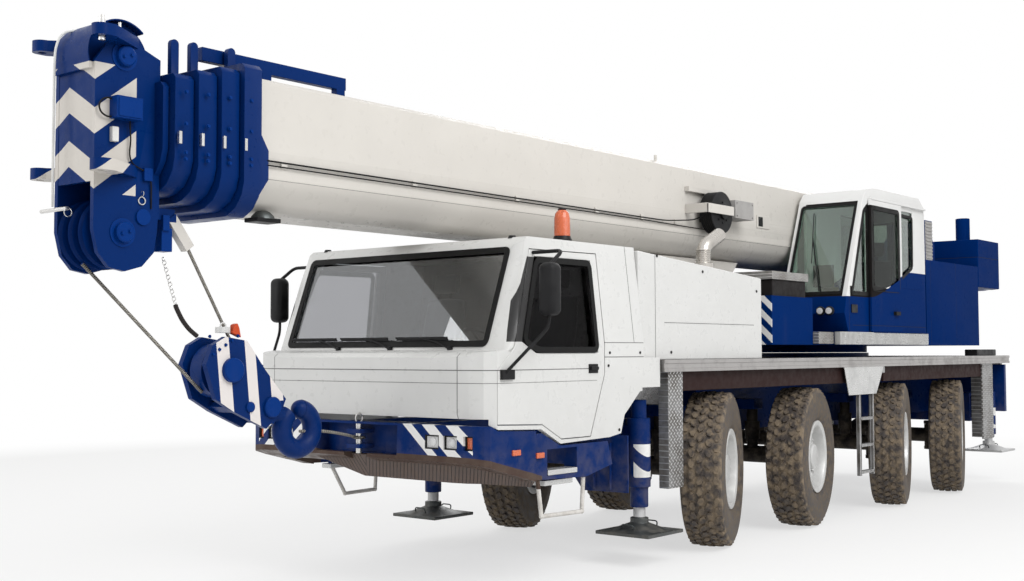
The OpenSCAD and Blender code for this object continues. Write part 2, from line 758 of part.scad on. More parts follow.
// Crane cab: hollow shell with windows, standing on the left floor beside the boom.
cc_back = -crane_cab_x - crane_cab_l;
cc_in = side_in + 5;
cc_floor = upper_z + 60;
cc_line = [[-crane_cab_x - 130, cc_floor], [-crane_cab_x, 2120], [-crane_cab_x - 50, 2290],
    [-crane_cab_x - 500, crane_cab_z - 120], [-crane_cab_x - 590, crane_cab_z - 30],
        [-crane_cab_x - 800, crane_cab_z],
    [cc_back + 160, crane_cab_z], [cc_back, crane_cab_z - 110], [cc_back, cc_floor]];
cc_hollow = [[-crane_cab_x - 190, cc_floor + 50], [-crane_cab_x - 60, 2140], [-crane_cab_x - 105, 2290],
    [-crane_cab_x - 550, crane_cab_z - 140], [-crane_cab_x - 620, crane_cab_z - 80],
        [-crane_cab_x - 800, crane_cab_z - 50],
    [cc_back + 180, crane_cab_z - 50], [cc_back + 50, crane_cab_z - 130], [cc_back + 50, cc_floor + 50]];
cc_door = [[-3900, cc_floor + 90], [-3130, cc_floor + 90], [-3130, crane_cab_z - 170],
    [-3900, crane_cab_z - 170]];
cc_front_window = [[-3080, 2330], [-2680, 2330], [-3000, crane_cab_z - 290], [-3080, crane_cab_z - 230]];
cc_rear_window = [[-4560, 2450], [-3960, 2450], [-3960, crane_cab_z - 190], [-4560, crane_cab_z - 190]];
rail_t = 40;

// An outline with its corners drawn in towards the middle.
function shrunk(line, d) = let (c = [for (p = line) 1] * line / len(line))
    [for (p = line) p + (c - p) * 3 * d / norm(c - p)];

function cc_glass_x(z) = -crane_cab_x - 50 - (z - 2290) * 450 / (crane_cab_z - 120 - 2290);

module crane_cab() {
    placed() color(white) {
        difference() {
            side_prism(cc_line, cc_in, crane_cab_y);
            side_prism(cc_hollow, cc_in + 45, crane_cab_y - 45);
            side_prism(cc_door, crane_cab_y - 60, far);
            side_prism(cc_front_window, cc_in - 5, far);
            side_prism(cc_rear_window, cc_in - 5, far);
            side_prism([[0, 2340], [cc_glass_x(2340) - 200, 2340],
                [cc_glass_x(3300) - 200, crane_cab_z - 200], [0, crane_cab_z - 200]],
                cc_in + 60, crane_cab_y - 60);
            block([cc_back - 10, cc_in + 100, 2500], [cc_back + 60, crane_cab_y - 100, 3250]);
        }
        for (z = [cc_floor + 60, crane_cab_z - 140]) 
            block([-4650, crane_cab_y - 1, z], [-3130, crane_cab_y + rail_t, z + 24]);
    }
}

module crane_cab_glass() {
    mid = pane_t / 2;
    placed() color(glass) {
        side_prism([[cc_glass_x(2340) - 10, 2340 + seat], [cc_glass_x(3300) - 10, 3300 - seat],
            [cc_glass_x(3300) - 10 - pane_t, 3300 - seat],
            [cc_glass_x(2340) - 10 - pane_t, 2340 + seat]], cc_in + 60 + seat, crane_cab_y - 60 - seat);
        for (line = [cc_front_window, cc_rear_window]) for (y = [cc_in + 22, crane_cab_y - 22])
            side_prism(shrunk(line, seat), y - mid, y + mid);
        block([cc_back + 20, cc_in + 100 + seat, 2500 + seat],
            [cc_back + 20 + pane_t, crane_cab_y - 100 - seat, 3250 - seat]);
    }
}

module crane_cab_interior() {
    y = (cc_in + crane_cab_y) / 2;
    placed() color(black) {
        seat_form(-3800, y, cc_floor + 50);
        both_sides_of(y) block([-3700, y + 245, cc_floor + 50], [-3350, y + 300, cc_floor + 620]);
    }
}

module both_sides_of(y) {
    children();
    translate([0, 2 * y, 0]) mirror([0, 1, 0]) children();
}

cc_door_window = [[-3840, 2400], [-3190, 2400], [-3190, crane_cab_z - 230], [-3840, crane_cab_z - 230]];

module crane_cab_door() {
    placed() color(white) difference() {
        side_prism([[-3940, cc_floor + 84 + seat], [-3100, cc_floor + 84 + seat],
            [-3100, crane_cab_z - 140 - seat],
            [-3940, crane_cab_z - 140 - seat]], crane_cab_y + 6, crane_cab_y + 36);
        side_prism(cc_door_window, crane_cab_y, far);
    }
}

module crane_door_glass() {
    placed() color(glass) side_prism(shrunk(cc_door_window, seat), crane_cab_y + 15,
        crane_cab_y + 15 + pane_t);
}

// Counterweight with chamfered rear corners and a notch for the winch.
module counterweight() {
    w = weight_w / 2;
    placed() color(blue) {
        difference() {
            plan_prism([[-weight_front, -w], [-weight_front, w], [350 - tail_x, w], [-tail_x, w - 350],
                [-tail_x, 350 - w],
                [350 - tail_x, -w]], weight_z, weight_z + weight_h);
            block([-arm_back, -side_in, 0], [0, side_in, far]);
        }
        z_bar(-weight_front - 440, 850, 180, weight_z + weight_h, weight_z + weight_h + 320);
    }
}

// Hoist winch on the rear arm.
module winch() {
    x = -weight_front - 350;
    z = weight_z + 290;
    placed() color(grey) {
        y_bar(x, z, 360, -330, 330);
        both_sides() y_bar(x, z, 540, 300, 330);
        both_sides() block([x - 190, 330, weight_z], [x + 190, 370, z + 180]);
    }
}

// Luffing cylinder, lying along the line from its foot to the rod eye.
ram_run = [ram_foot_x - ram_eye_x, 0, ram_eye_z - ram_foot_z];
ram_l = norm(ram_run);
ram_slope = atan2(ram_run[2], ram_run[0]);
ram_barrel_l = ram_l - 260;

module along_ram() {
    placed() translate([-ram_foot_x, 0, ram_foot_z]) rotate([0, 90 - ram_slope, 0]) children();
}

module ram_barrel() {
    along_ram() color(blue) difference() {
        union() {
            translate([0, 0, 60]) cylinder(d = ram_d, h = ram_barrel_l - 60);
            y_bar(0, 0, 240, -150, 150);
            y_bar(0, 0, ram_pin_d, -side_in, side_in);
        }
        translate([0, 0, 300]) cylinder(d = ram_rod_d + 2 * fit, h = far);
    }
}

module ram_rod() {
    along_ram() color(grey) {
        translate([0, 0, 320]) cylinder(d = ram_rod_d, h = ram_l - 400);
        translate([0, 0, ram_l]) {
            y_bar(0, 0, 230, -130, 130);
            y_bar(0, 0, ram_pin_d, -205, 205);
        }
    }
}

// Boom sections: a flat top and a bent-up lower half, telescoped one inside the next.
bend_h = 220;
section_back = [for (d = [-450, 400, 450, 500, 550]) d - foot_x];

function boom_line(k, t) = let (w = boom_w / 2 - k * boom_step - t, top = boom_z - k * boom_step - t,
    low = boom_z - boom_h + k * boom_step + t,
    b = bend_h, half = [[w - 30, top], [w, top - 30], [w, low + b], [w - 25, low + b * 0.62],
        [w - 85, low + b * 0.27], [w - 175, low + b * 0.06],
    [w - 240, low]])
    concat(half, [for (i = [len(half) - 1:-1:0]) [-half[i][0], half[i][1]]]);

function collar_front(k) = collar_x + k * collar_pitch;

collar_grow = 60;
collar_l = 140;

module tube(k, front) {
    difference() {
        front_prism(boom_line(k, 0), section_back[k], front);
        front_prism(boom_line(k, boom_t), section_back[k] - 10, front + 10);
    }
}

// Round-topped cable post on a collar.
module collar_post(x, z) {
    block([x - 30, 215, boom_z - boom_h / 2], [x + 30, 255, z]);
    y_bar(x, z, 60, 215, 255);
}

// The collar's opening is a running fit for the next section.
module collar(k) {
    x1 = collar_front(k);
    difference() {
        union() {
            front_prism(boom_line(k, -collar_grow + 6 * k), x1 - collar_l, x1);
            if (k != 1) collar_post(x1 - collar_l / 2, boom_z + 170 - 8 * k);
        }
        front_prism(boom_line(k + 1, -seat), x1 - collar_l - 10, x1 + 10);
        block([x1 - 2 * collar_l, -far, 0], [x1 + collar_l, far, boom_z - boom_h - collar_grow + 10]);
    }
}

module boom_section(k) {
    color(cream) tube(k, collar_front(k) - collar_l + 1);
    color(blue) collar(k);
}

module boom_base() {
    placed() {
        boom_section(0);
        color(blue) both_sides() side_prism([[collar_x - collar_l + 20, 3200], [collar_x - collar_l, 3200],
            [collar_x - collar_l - 92, 3050], [collar_x - collar_l - 92, 2860], [collar_x - collar_l, 2730],
            [collar_x - collar_l + 20, 2730]], boom_w / 2 - 6, boom_w / 2 + 20);
        color(cream) both_sides() {
            y_bar(-foot_x, foot_z, 300, boom_w / 2 - 5, boom_w / 2 + 2);
            y_bar(-foot_x, foot_z, foot_d, boom_w / 2 - boom_t, side_in);
        }
    }
}

// Fittings on the base section: luffing bracket, cable reel, top bar and flood lamp.
module boom_fittings() {
    low = boom_z - boom_h;
    placed() {
        color(cream) both_sides() difference() {
            side_prism([[-120, low - seat], [-640, low - 60], [-ram_eye_x + 160, ram_eye_z - 130],
                [-ram_eye_x - 160, ram_eye_z - 130],
                [-ram_eye_x - 500, low - seat]], 210, 250);
            y_bar(-ram_eye_x, ram_eye_z, ram_pin_d + 2 * fit, -far, far);
        }
        color(black) {
            y_bar(-1050, 3090, 400, boom_w / 2 + 70, boom_w / 2 + 190);
            block([-1150, boom_w / 2 + seat, 3000], [-950, boom_w / 2 + 72, 3180]);
        }
        color(blue) {
            block([3570, 130, boom_z + 96], [collar_front(1) - 30, 190, boom_z + 186]);
            for (x = [3620, 4300]) block([x - 40, 130, boom_z + seat], [x + 40, 190, boom_z + 100]);
        }
    }
}

module boom_section_2() placed() boom_section(1);
module boom_section_3() placed() boom_section(2);
module boom_section_4() placed() boom_section(3);

// Innermost section with the head: side plates, sheaves, axles and the jib lugs.
head_back = collars_x + 10;
head_front = head_x - 90;
lug_x = head_x - 60;
lug_y = head_w / 2 + 114;
lug_heights = [sheave_z + 380, top_sheave_z + 100];
socket_foot = [sheave_at - 546, 120, sheave_z - 60];
socket_tilt = 36.4;
block_axle = [4547, 1610];
block_sheave_d = 360;
rope_r = block_sheave_d / 2 + rope_d / 2 + seat;
stub_l = 80;
rope_gap = 36;
stub_to = tangent([socket_foot[0], socket_foot[2]], block_axle, rope_r, -1);
stub_run = [stub_to[0], 0, stub_to[1]] - socket_foot;
stub_way = stub_run / norm(stub_run);
stub_foot = socket_foot + stub_l * stub_way;

// Where a line from a point touches a round sheave.
function tangent(from, centre, r, side) = let (run = centre - from, u = run / norm(run), k = r / norm(run))
    centre + r * (side * [-u[1], u[0]] * sqrt(1 - k * k) - u * k);

module head_plate(y) {
    low = sheave_z;
    top = top_sheave_z;
    side_prism([[head_back, low + 220], [sheave_at - 245, low + 10], [sheave_at - 225, low - 110],
        [sheave_at - 140, low - 200],
        [sheave_at - 20, low - 235], [sheave_at + 90, low - 215], [sheave_at + 165, low - 130],
            [head_front, low + 10],
        [head_front, top - 50], [sheave_at + 110, top + 70], [sheave_at + 30, top + 105],
            [sheave_at - 60, top + 100],
        [head_back, top + 20]], y - 18, y + 18);
}

module jib_lug(z) {
    both_sides() difference() {
        union() {
            plan_prism([[lug_x - 330, head_w / 2 - 1], [lug_x - 60, lug_y + 60], [lug_x, lug_y + 60],
                [lug_x, lug_y - 60],
                [head_front - 30, head_w / 2 - 1]], z - 35, z + 35);
            z_bar(lug_x, lug_y, 120, z - 35, z + 35);
        }
        z_bar(lug_x, lug_y, jib_bore_d, z - far, z + far);
    }
}

module sheave(z) {
    for (y = [-110, 0, 110]) translate([sheave_at, y, z]) rotate([90, 0, 0]) rotate_extrude()
        polygon([[0, -25], [sheave_d / 2, -25], [sheave_d / 2 - 30, -8], [sheave_d / 2 - 30, 8],
            [sheave_d / 2, 25], [0, 25]]);
}

// Curved guard over the upper sheaves.
module sheave_guard() {
    half = head_w / 2 - 26;
    intersection() {
        difference() {
            y_bar(sheave_at, top_sheave_z, sheave_d + 28, -half, half);
            y_bar(sheave_at, top_sheave_z, sheave_d + 12, -far, far);
        }
        block([sheave_at - 150, -far, top_sheave_z - 70], [sheave_at + sheave_d, far, far]);
    }
    block([head_front - 10, -half, top_sheave_z - 100],
        [sheave_at + sheave_d / 2 + 6, half, top_sheave_z - 60]);
}

module boom_head() {
    placed() {
        color(cream) tube(4, head_back + 2);
        color(blue) {
            front_prism(boom_line(4, -20), head_back, head_back + 40);
            both_sides() head_plate(head_w / 2 - 18);
            block([head_back, -head_w / 2, sheave_z + 100],
                [head_back + 60, head_w / 2, top_sheave_z - 120]);
            block([head_back - 170, 100, sheave_z + 110], [head_back + 20, 140, sheave_z + 180]);
            translate(socket_foot) rotate([0, socket_tilt, 0]) block([-35, -30, 0], [35, 30, 240]);
            bar(socket_foot - 20 * stub_way, stub_foot, rope_d);
            block([head_front - 40, -head_w / 2, sheave_z + 300],
                [head_front - 3, head_w / 2, top_sheave_z - 55]);
            sheave_guard();
            for (z = lug_heights) jib_lug(z);
        }
        color(grey) {
            for (z = [sheave_z, top_sheave_z]) {
                sheave(z);
                y_bar(sheave_at, z, 90, -head_w / 2 - 25, head_w / 2 + 25);
            }
        }
    }
}

// Hook block with its rope falls and the hook, tied back towards the bumper.
hook_z = -712;

module hook_form() {
    translate([0, 0, hook_z + hook_r - 20]) cylinder(d = hook_d * 0.8, h = -hook_z - hook_r - 260);
    translate([0, 0, hook_z]) rotate([90, 0, 0]) rotate_extrude(angle = 310,
        start = 160) translate([hook_r, 0]) circle(d = hook_d);
    translate([hook_r * cos(160), 0, hook_z + hook_r * sin(160)]) sphere(d = hook_d * 0.96);
}

module rope_fall(from, side) {
    to = tangent([from[0], from[2]], block_axle, rope_r, side);
    bar(from, [to[0], 0, to[1]], rope_d);
}

module hook_block() {
    placed() {
        translate([block_axle[0], 0, block_axle[1]]) rotate([0, block_tilt, 0]) translate(
            [0, 0, -100]) color(blue) {
            both_sides() side_prism([[-70, -400], [-150, -135], [-235, 95], [-165, 260], [-65, 320],
                [71, 300], [225, 110],
                [222, -64], [186, -357], [20, -412]], block_w / 2 - 45, block_w / 2);
            block([-60, -block_w / 2, -395], [130, block_w / 2, -230]);
            for (x = [-147, 185]) block([x - 18, -block_w / 2, -110], [x + 18, block_w / 2, -35]);
            y_bar(0, 100, block_sheave_d, -60, 60);
            y_bar(0, 100, 110, -block_w / 2 - 15, block_w / 2 + 15);
            hook_form();
        }
        color(black) {
            rope_fall([sheave_at, 0, sheave_z] + (sheave_d / 2 + rope_d / 2 + seat) * [0.59, 0, -0.807], 1);
            rope_fall(stub_foot + rope_gap * stub_way, -1);
        }
    }
}

chassis_frame();
deck();
mudguards();
side_plates();
axles();
engine();
engine_hood();
exhaust();
cab_shell();
cab_glass();
cab_interior();
bumper();
lamps();
door_left();
door_glass_left();
mirror_left();
door_right();
door_glass_right();
mirror_right();
knuckle_1_left();
knuckle_1_right();
knuckle_2_left();
knuckle_2_right();
knuckle_3_left();
knuckle_3_right();
knuckle_4_left();
knuckle_4_right();
wheel_1_left();
wheel_1_right();
wheel_2_left();
wheel_2_right();
wheel_3_left();
wheel_3_right();
wheel_4_left();
wheel_4_right();
beam_front_left();
beam_front_right();
beam_rear_left();
beam_rear_right();
leg_front_left();
leg_front_right();
leg_rear_left();
leg_rear_right();
turntable();
crane_cab();
crane_cab_glass();
crane_cab_interior();
crane_cab_door();
crane_door_glass();
counterweight();
winch();
ram_barrel();
ram_rod();
boom_base();
boom_fittings();
boom_section_2();
boom_section_3();
boom_section_4();
boom_head();
hook_block();
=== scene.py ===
from math import cos, pi, radians, sin

import bmesh
import bpy
from bpy.props import FloatProperty, FloatVectorProperty, IntProperty, PointerProperty
from mathutils import Matrix, Vector


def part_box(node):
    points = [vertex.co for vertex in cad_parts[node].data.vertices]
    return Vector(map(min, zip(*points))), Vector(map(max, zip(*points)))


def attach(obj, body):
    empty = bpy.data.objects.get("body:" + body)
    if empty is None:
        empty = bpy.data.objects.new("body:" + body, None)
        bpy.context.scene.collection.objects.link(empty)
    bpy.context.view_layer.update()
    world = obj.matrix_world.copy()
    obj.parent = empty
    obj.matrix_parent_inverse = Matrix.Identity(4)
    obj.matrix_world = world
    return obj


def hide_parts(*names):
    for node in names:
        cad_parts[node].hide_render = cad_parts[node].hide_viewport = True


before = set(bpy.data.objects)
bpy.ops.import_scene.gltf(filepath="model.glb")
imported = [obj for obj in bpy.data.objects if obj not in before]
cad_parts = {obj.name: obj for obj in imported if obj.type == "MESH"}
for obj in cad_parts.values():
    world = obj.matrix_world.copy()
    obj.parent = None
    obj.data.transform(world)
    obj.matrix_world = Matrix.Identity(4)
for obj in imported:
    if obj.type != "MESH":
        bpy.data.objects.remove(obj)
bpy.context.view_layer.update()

bl_info = {
    "name": "Four-axle telescopic crane",
    "version": (1, 0, 0),
    "blender": (4, 5, 0),
    "location": "View3D > Sidebar > Crane",
    "description": "Dresses the crane's solids with its surfaces, fittings and studio",
    "category": "Object",
}

FRONT_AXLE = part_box("axles")[1].x - 0.2
TYRE_R = 0.685
KING_PIN_Y = 0.875
HUB_REACH = 0.2
SHEAVE_X = 5.431
HEAD_SIDE = 0.213
COLLAR_X = 4.58
COLLAR_STEP = 0.147
CAB_SIDE = 1.25
CAB_BELT_Z = 1.8
CAB_SIDE_LEAN = 0.09 / 0.77
CAMERA_YAW, CAMERA_PITCH, CAMERA_ROLL = radians(39.533), radians(2.761), radians(-0.175)
CAMERA_PLACE = (9.8328, 6.9157, 1.7311)
CAMERA_LENS = 44.49
AXLES = (0.0, -1.725, -3.905, -5.63)
STEER = (21, 12, 18, 18)
SIDES = (("left", 1), ("right", -1))
FINISHES = {}


def at(x, y, z):
    """A point given from the first axle, in the row frame."""
    return Vector((FRONT_AXLE + x, y, z))


class Finish:
    """A node material on Object coordinates."""

    def __init__(self, name, colour, roughness=0.5, **sockets):
        self.material = bpy.data.materials.new(name)
        self.material.use_nodes = True
        self.nodes = self.material.node_tree.nodes
        self.links = self.material.node_tree.links
        self.shader = self.nodes["Principled BSDF"]
        self.set("Base Color", (*colour, 1.0))
        self.set("Roughness", roughness)
        for socket, value in sockets.items():
            self.set(socket.replace("_", " "), value)
        self.colour = (*colour, 1.0)
        self.point = self.nodes.new("ShaderNodeTexCoord").outputs["Object"]
        split = self.add("ShaderNodeSeparateXYZ", Vector=self.point)
        self.x, self.y, self.z = split.outputs
        FINISHES[name] = self.material

    def set(self, socket, value):
        """Sets one of the shader's own sockets, by a number or by a link."""
        self.join(self.shader.inputs[socket], value)

    def join(self, socket, value):
        if isinstance(value, bpy.types.NodeSocket):
            self.links.new(value, socket)
        else:
            socket.default_value = value

    def add(self, kind, **inputs):
        node = self.nodes.new(kind)
        for socket, value in inputs.items():
            self.join(node.inputs[socket.replace("_", " ")], value)
        return node

    def op(self, operation, a, b=0.0):
        node = self.nodes.new("ShaderNodeMath")
        node.operation = operation
        self.join(node.inputs[0], a)
        self.join(node.inputs[1], b)
        return node.outputs[0]

    def above(self, a, b):
        return self.op("GREATER_THAN", a, b)

    def below(self, a, b):
        return self.op("LESS_THAN", a, b)

    def between(self, a, low, high):
        return self.op("MULTIPLY", self.above(a, low), self.below(a, high))

    def both(self, *masks):
        result = masks[0]
        for mask in masks[1:]:
            result = self.op("MULTIPLY", result, mask)
        return result

    def either(self, *masks):
        result = masks[0]
        for mask in masks[1:]:
            result = self.op("MAXIMUM", result, mask)
        return result

    @property
    def wide(self):
        """Distance from the machine's middle."""
        return self.op("ABSOLUTE", self.y)

    def repeat(self, value, pitch):
        """0 to 1 along each pitch."""
        return self.op("FRACT", self.op("DIVIDE", value, pitch))

    def line(self, x, z, slope):
        """How far a point lies along a slanted direction: x plus slope times z."""
        return self.op("ADD", x, self.op("MULTIPLY", z, slope))

    def ramp(self, value, low, high, first=0.0, last=1.0):
        node = self.add("ShaderNodeMapRange", Value=value, From_Min=low, From_Max=high, To_Min=first, To_Max=last)
        node.interpolation_type = "SMOOTHSTEP"
        return node.outputs[0]

    def noise(self, scale, detail=4.0, stretch=(1.0, 1.0, 1.0)):
        place = self.add("ShaderNodeMapping", Vector=self.point, Scale=stretch)
        node = self.add("ShaderNodeTexNoise", Vector=place.outputs[0], Scale=scale, Detail=detail, Roughness=0.6)
        return node.outputs[0]

    def mix(self, factor, a, b):
        node = self.nodes.new("ShaderNodeMix")
        node.data_type = "RGBA"
        self.join(node.inputs[0], factor)
        for socket, value in ((node.inputs[6], a), (node.inputs[7], b)):
            self.join(socket, (*value, 1.0) if isinstance(value, tuple) and len(value) == 3 else value)
        return node.outputs[2]

    def bump(self, height, distance, strength=0.5, normal=None):
        node = self.add("ShaderNodeBump", Height=height, Distance=distance, Strength=strength)
        if normal is not None:
            self.links.new(normal, node.inputs["Normal"])
        return node.outputs[0]


def paint(name, colour, areas=(), roughness=0.32, dust=0.3, peel=0.00025, coat=0.25, gloss=0.4, grooves=()):
    """Sprayed paint with slight fading, road dust low down, masked areas in other colours and dark panel joints."""
    f = Finish(name, colour, roughness, Coat_Weight=coat * gloss, Coat_Roughness=0.12, Specular_IOR_Level=gloss)
    fade = f.noise(1.3, 5.0)
    shade = tuple(c * 0.95 for c in colour)
    base = f.mix(f.ramp(fade, 0.35, 0.7), shade, colour)
    for area, other in areas:
        base = f.mix(area(f), base, other)
    streak = f.noise(5.0, 6.0, (1.0, 1.0, 0.12))
    base = f.mix(f.op("MULTIPLY", f.ramp(streak, 0.55, 0.78), 0.03), base, (0.22, 0.20, 0.17))
    low = f.op("MULTIPLY", f.ramp(f.z, 1.5, 0.4), f.ramp(f.noise(9.0, 6.0), 0.36, 0.66))
    base = f.mix(f.op("MULTIPLY", low, dust), base, (0.20, 0.165, 0.125))
    normal = f.bump(f.noise(260.0, 2.0), peel)
    if grooves:
        joint = f.either(*[groove(f) for groove in grooves])
        base = f.mix(f.op("MULTIPLY", joint, 0.8), base, (0.03, 0.03, 0.03))
        normal = f.bump(f.op("SUBTRACT", 1.0, joint), 0.004, 0.8, normal)
    f.set("Base Color", base)
    f.set("Roughness", f.ramp(f.noise(14.0, 5.0), 0.3, 0.75, roughness - 0.07, roughness + 0.16))
    f.set("Normal", normal)


def metal(name, colour, roughness=0.35, grain=(1.0, 1.0, 1.0), tarnish=0.5, metallic=0.9):
    """Bare metal with drawn grain and dull, darker patches."""
    f = Finish(name, colour, roughness, Metallic=metallic)
    drawn = f.noise(90.0, 5.0, grain)
    patch = f.ramp(f.noise(6.0, 6.0), 0.42, 0.72)
    dull = tuple(c * 0.55 for c in colour)
    base = f.mix(f.op("MULTIPLY", patch, tarnish), f.mix(drawn, tuple(c * 0.82 for c in colour), colour), dull)
    f.set("Base Color", base)
    f.set("Roughness", f.ramp(f.op("ADD", drawn, patch), 0.4, 1.5, roughness - 0.1, roughness + 0.25))
    f.set("Normal", f.bump(drawn, 0.0004, 0.4))


def plastic(name, colour, roughness=0.55, grain=400.0, dust=0.25, gloss=0.15):
    """Moulded black or coloured plastic with fine grain and dust."""
    f = Finish(name, colour, roughness, Specular_IOR_Level=gloss)
    worn = f.ramp(f.noise(7.0, 6.0), 0.4, 0.72)
    f.set("Base Color", f.mix(f.op("MULTIPLY", worn, dust), (*colour, 1.0), tuple(0.5 * c + 0.03 for c in colour)))
    f.set("Roughness", f.ramp(worn, 0.0, 1.0, roughness - 0.08, roughness + 0.15))
    f.set("Normal", f.bump(f.noise(grain, 3.0), 0.0004, 0.5))


def chequer(name, colour, across, along, pitch=0.034):
    """Raised-lozenge tread plate; across and along pick the coordinates in the plate's plane."""
    f = Finish(name, colour, 0.34, Metallic=0.85)
    u, v = getattr(f, across), getattr(f, along)
    p = f.op("DIVIDE", f.op("ADD", u, v), pitch)
    q = f.op("DIVIDE", f.op("SUBTRACT", u, v), pitch)
    parity = f.op("FLOORED_MODULO", f.op("ADD", f.op("FLOOR", p), f.op("FLOOR", q)), 2.0)
    a = f.op("SUBTRACT", f.op("FRACT", p), 0.5)
    b = f.op("SUBTRACT", f.op("FRACT", q), 0.5)
    swap = f.above(parity, 0.5)
    wide = f.op("ADD", f.op("MULTIPLY", a, swap), f.op("MULTIPLY", b, f.op("SUBTRACT", 1.0, swap)))
    thin = f.op("ADD", f.op("MULTIPLY", b, swap), f.op("MULTIPLY", a, f.op("SUBTRACT", 1.0, swap)))
    wide = f.op("POWER", f.op("DIVIDE", f.op("ABSOLUTE", wide), 0.47), 2.0)
    thin = f.op("POWER", f.op("DIVIDE", f.op("ABSOLUTE", thin), 0.17), 2.0)
    bar = f.ramp(f.op("ADD", wide, thin), 1.15, 0.55)
    grime = f.ramp(f.noise(6.0, 6.0), 0.35, 0.7)
    # The flat floor between the lozenges is half as bright as the bars: painted shade between the raised bars, with
    # grime mixed in patches.
    floor = f.mix(f.op("MULTIPLY", grime, 0.8), tuple(c * 0.5 for c in colour), (0.10, 0.085, 0.07))
    f.set("Base Color", f.mix(bar, floor, (*colour, 1.0)))
    f.set("Roughness", f.ramp(bar, 0.0, 1.0, 0.6, 0.3))
    f.set("Normal", f.bump(bar, 0.004, 0.9))


def pane_glass(name, colour, ior):
    """Window glass, slightly tinted and faintly smeared."""
    f = Finish(name, colour, 0.0, Transmission_Weight=1.0, IOR=ior)
    smear = f.ramp(f.noise(5.0, 6.0, (1.0, 1.0, 0.3)), 0.5, 0.8)
    f.set("Base Color", f.mix(f.op("MULTIPLY", smear, 0.2), (*colour, 1.0), tuple(0.8 * c for c in colour)))


def lens(name, colour):
    """Ribbed lamp lens; a reflector's sparkle is painted into its colour as light and dark stripes along the ribs,
    painted highlight and shade.
    """
    f = Finish(name, colour, 0.16, Coat_Weight=0.6, Coat_Roughness=0.05)
    ribs = f.op("ABSOLUTE", f.op("SINE", f.op("MULTIPLY", f.op("ADD", f.x, f.op("ADD", f.y, f.z)), 340.0)))
    # Painted highlight and shade: the colour runs light and dark with the ribs.
    f.set("Base Color", f.mix(ribs, tuple(c * 0.55 for c in colour), colour))
    f.set("Roughness", f.ramp(f.noise(30.0, 3.0), 0.3, 0.7, 0.1, 0.28))
    f.set("Normal", f.bump(ribs, 0.002, 0.6))


def rubber(name, colour, dust_colour, dust=0.6, scale=14.0):
    """Dusty tyre rubber."""
    f = Finish(name, colour, 0.75)
    cake = f.ramp(f.noise(scale, 8.0), 0.36, 0.66)
    fine = f.noise(130.0, 4.0)
    base = f.mix(f.op("MULTIPLY", cake, dust), (*colour, 1.0), dust_colour)
    base = f.mix(f.op("MULTIPLY", fine, 0.35), base, tuple(c * 0.5 for c in colour))
    f.set("Base Color", base)
    f.set("Roughness", f.ramp(cake, 0.0, 1.0, 0.62, 0.92))
    f.set("Normal", f.bump(fine, 0.0012, 0.6))


def fabric(name, colour):
    """Woven seat cloth."""
    f = Finish(name, colour, 0.9, Sheen_Weight=0.3)
    warp = f.op("ABSOLUTE", f.op("SINE", f.op("MULTIPLY", f.op("ADD", f.x, f.z), 900.0)))
    weft = f.op("ABSOLUTE", f.op("SINE", f.op("MULTIPLY", f.y, 900.0)))
    weave = f.op("MULTIPLY", warp, weft)
    # The gaps between the threads are painted at half brightness: painted shade in the weave.
    f.set("Base Color", f.mix(weave, tuple(c * 0.5 for c in colour), colour))
    f.set("Roughness", f.ramp(weave, 0.0, 1.0, 0.95, 0.8))
    f.set("Normal", f.bump(weave, 0.0015, 0.7))


def verts_in(geom):
    """The vertices among an operator's results."""
    return [g for g in geom if isinstance(g, bmesh.types.BMVert)]


def faces_in(geom):
    """The faces among an operator's results."""
    return [g for g in geom if isinstance(g, bmesh.types.BMFace)]


def plate(bm, outline, axis, low, high):
    """An outline in the plane across an axis, extruded between two values along it."""
    place = {"x": lambda p: (low, p[0], p[1]), "y": lambda p: (p[0], low, p[1]), "z": lambda p: (p[0], p[1], low)}[axis]
    face = bm.faces.new([bm.verts.new(place(p)) for p in outline])
    run = Vector((axis == "x", axis == "y", axis == "z")) * (high - low)
    grown = bmesh.ops.extrude_face_region(bm, geom=[face])["geom"]
    top = verts_in(grown)
    bmesh.ops.translate(bm, vec=run, verts=top)
    verts = list(face.verts) + top
    bmesh.ops.recalc_face_normals(bm, faces=list({f for v in verts for f in v.link_faces}))


def block(bm, low, high):
    """A box between two corners."""
    low, high = Vector(low), Vector(high)
    place = Matrix.Translation((low + high) / 2) @ Matrix.Diagonal((*(high - low), 1.0))
    return bmesh.ops.create_cube(bm, size=1.0, matrix=place)["verts"]


def rod(bm, start, end, radius, segments=16, far_radius=None):
    """A round bar between two points."""
    start, end = Vector(start), Vector(end)
    run = end - start
    place = Matrix.Translation((start + end) / 2) @ run.to_track_quat("Z", "Y").to_matrix().to_4x4()
    far_radius = radius if far_radius is None else far_radius
    bmesh.ops.create_cone(bm, cap_ends=True, segments=segments, radius1=radius, radius2=far_radius,
                          depth=run.length, matrix=place)


def ball(bm, centre, radius):
    """A round knob."""
    bmesh.ops.create_uvsphere(bm, u_segments=16, v_segments=10, radius=radius, matrix=Matrix.Translation(centre))


def turned(bm, profile, centre, axis, steps=32):
    """A profile of (radius, height) pairs turned round an axis."""
    axis = Vector(axis).normalized()
    turn = axis.to_track_quat("Z", "Y").to_matrix()
    verts = [bm.verts.new(Vector(centre) + turn @ Vector((r, 0.0, h))) for r, h in profile]
    edges = [bm.edges.new(pair) for pair in zip(verts, verts[1:])]
    bmesh.ops.spin(bm, geom=verts + edges, cent=centre, axis=axis, angle=2 * pi, steps=steps, use_merge=True)


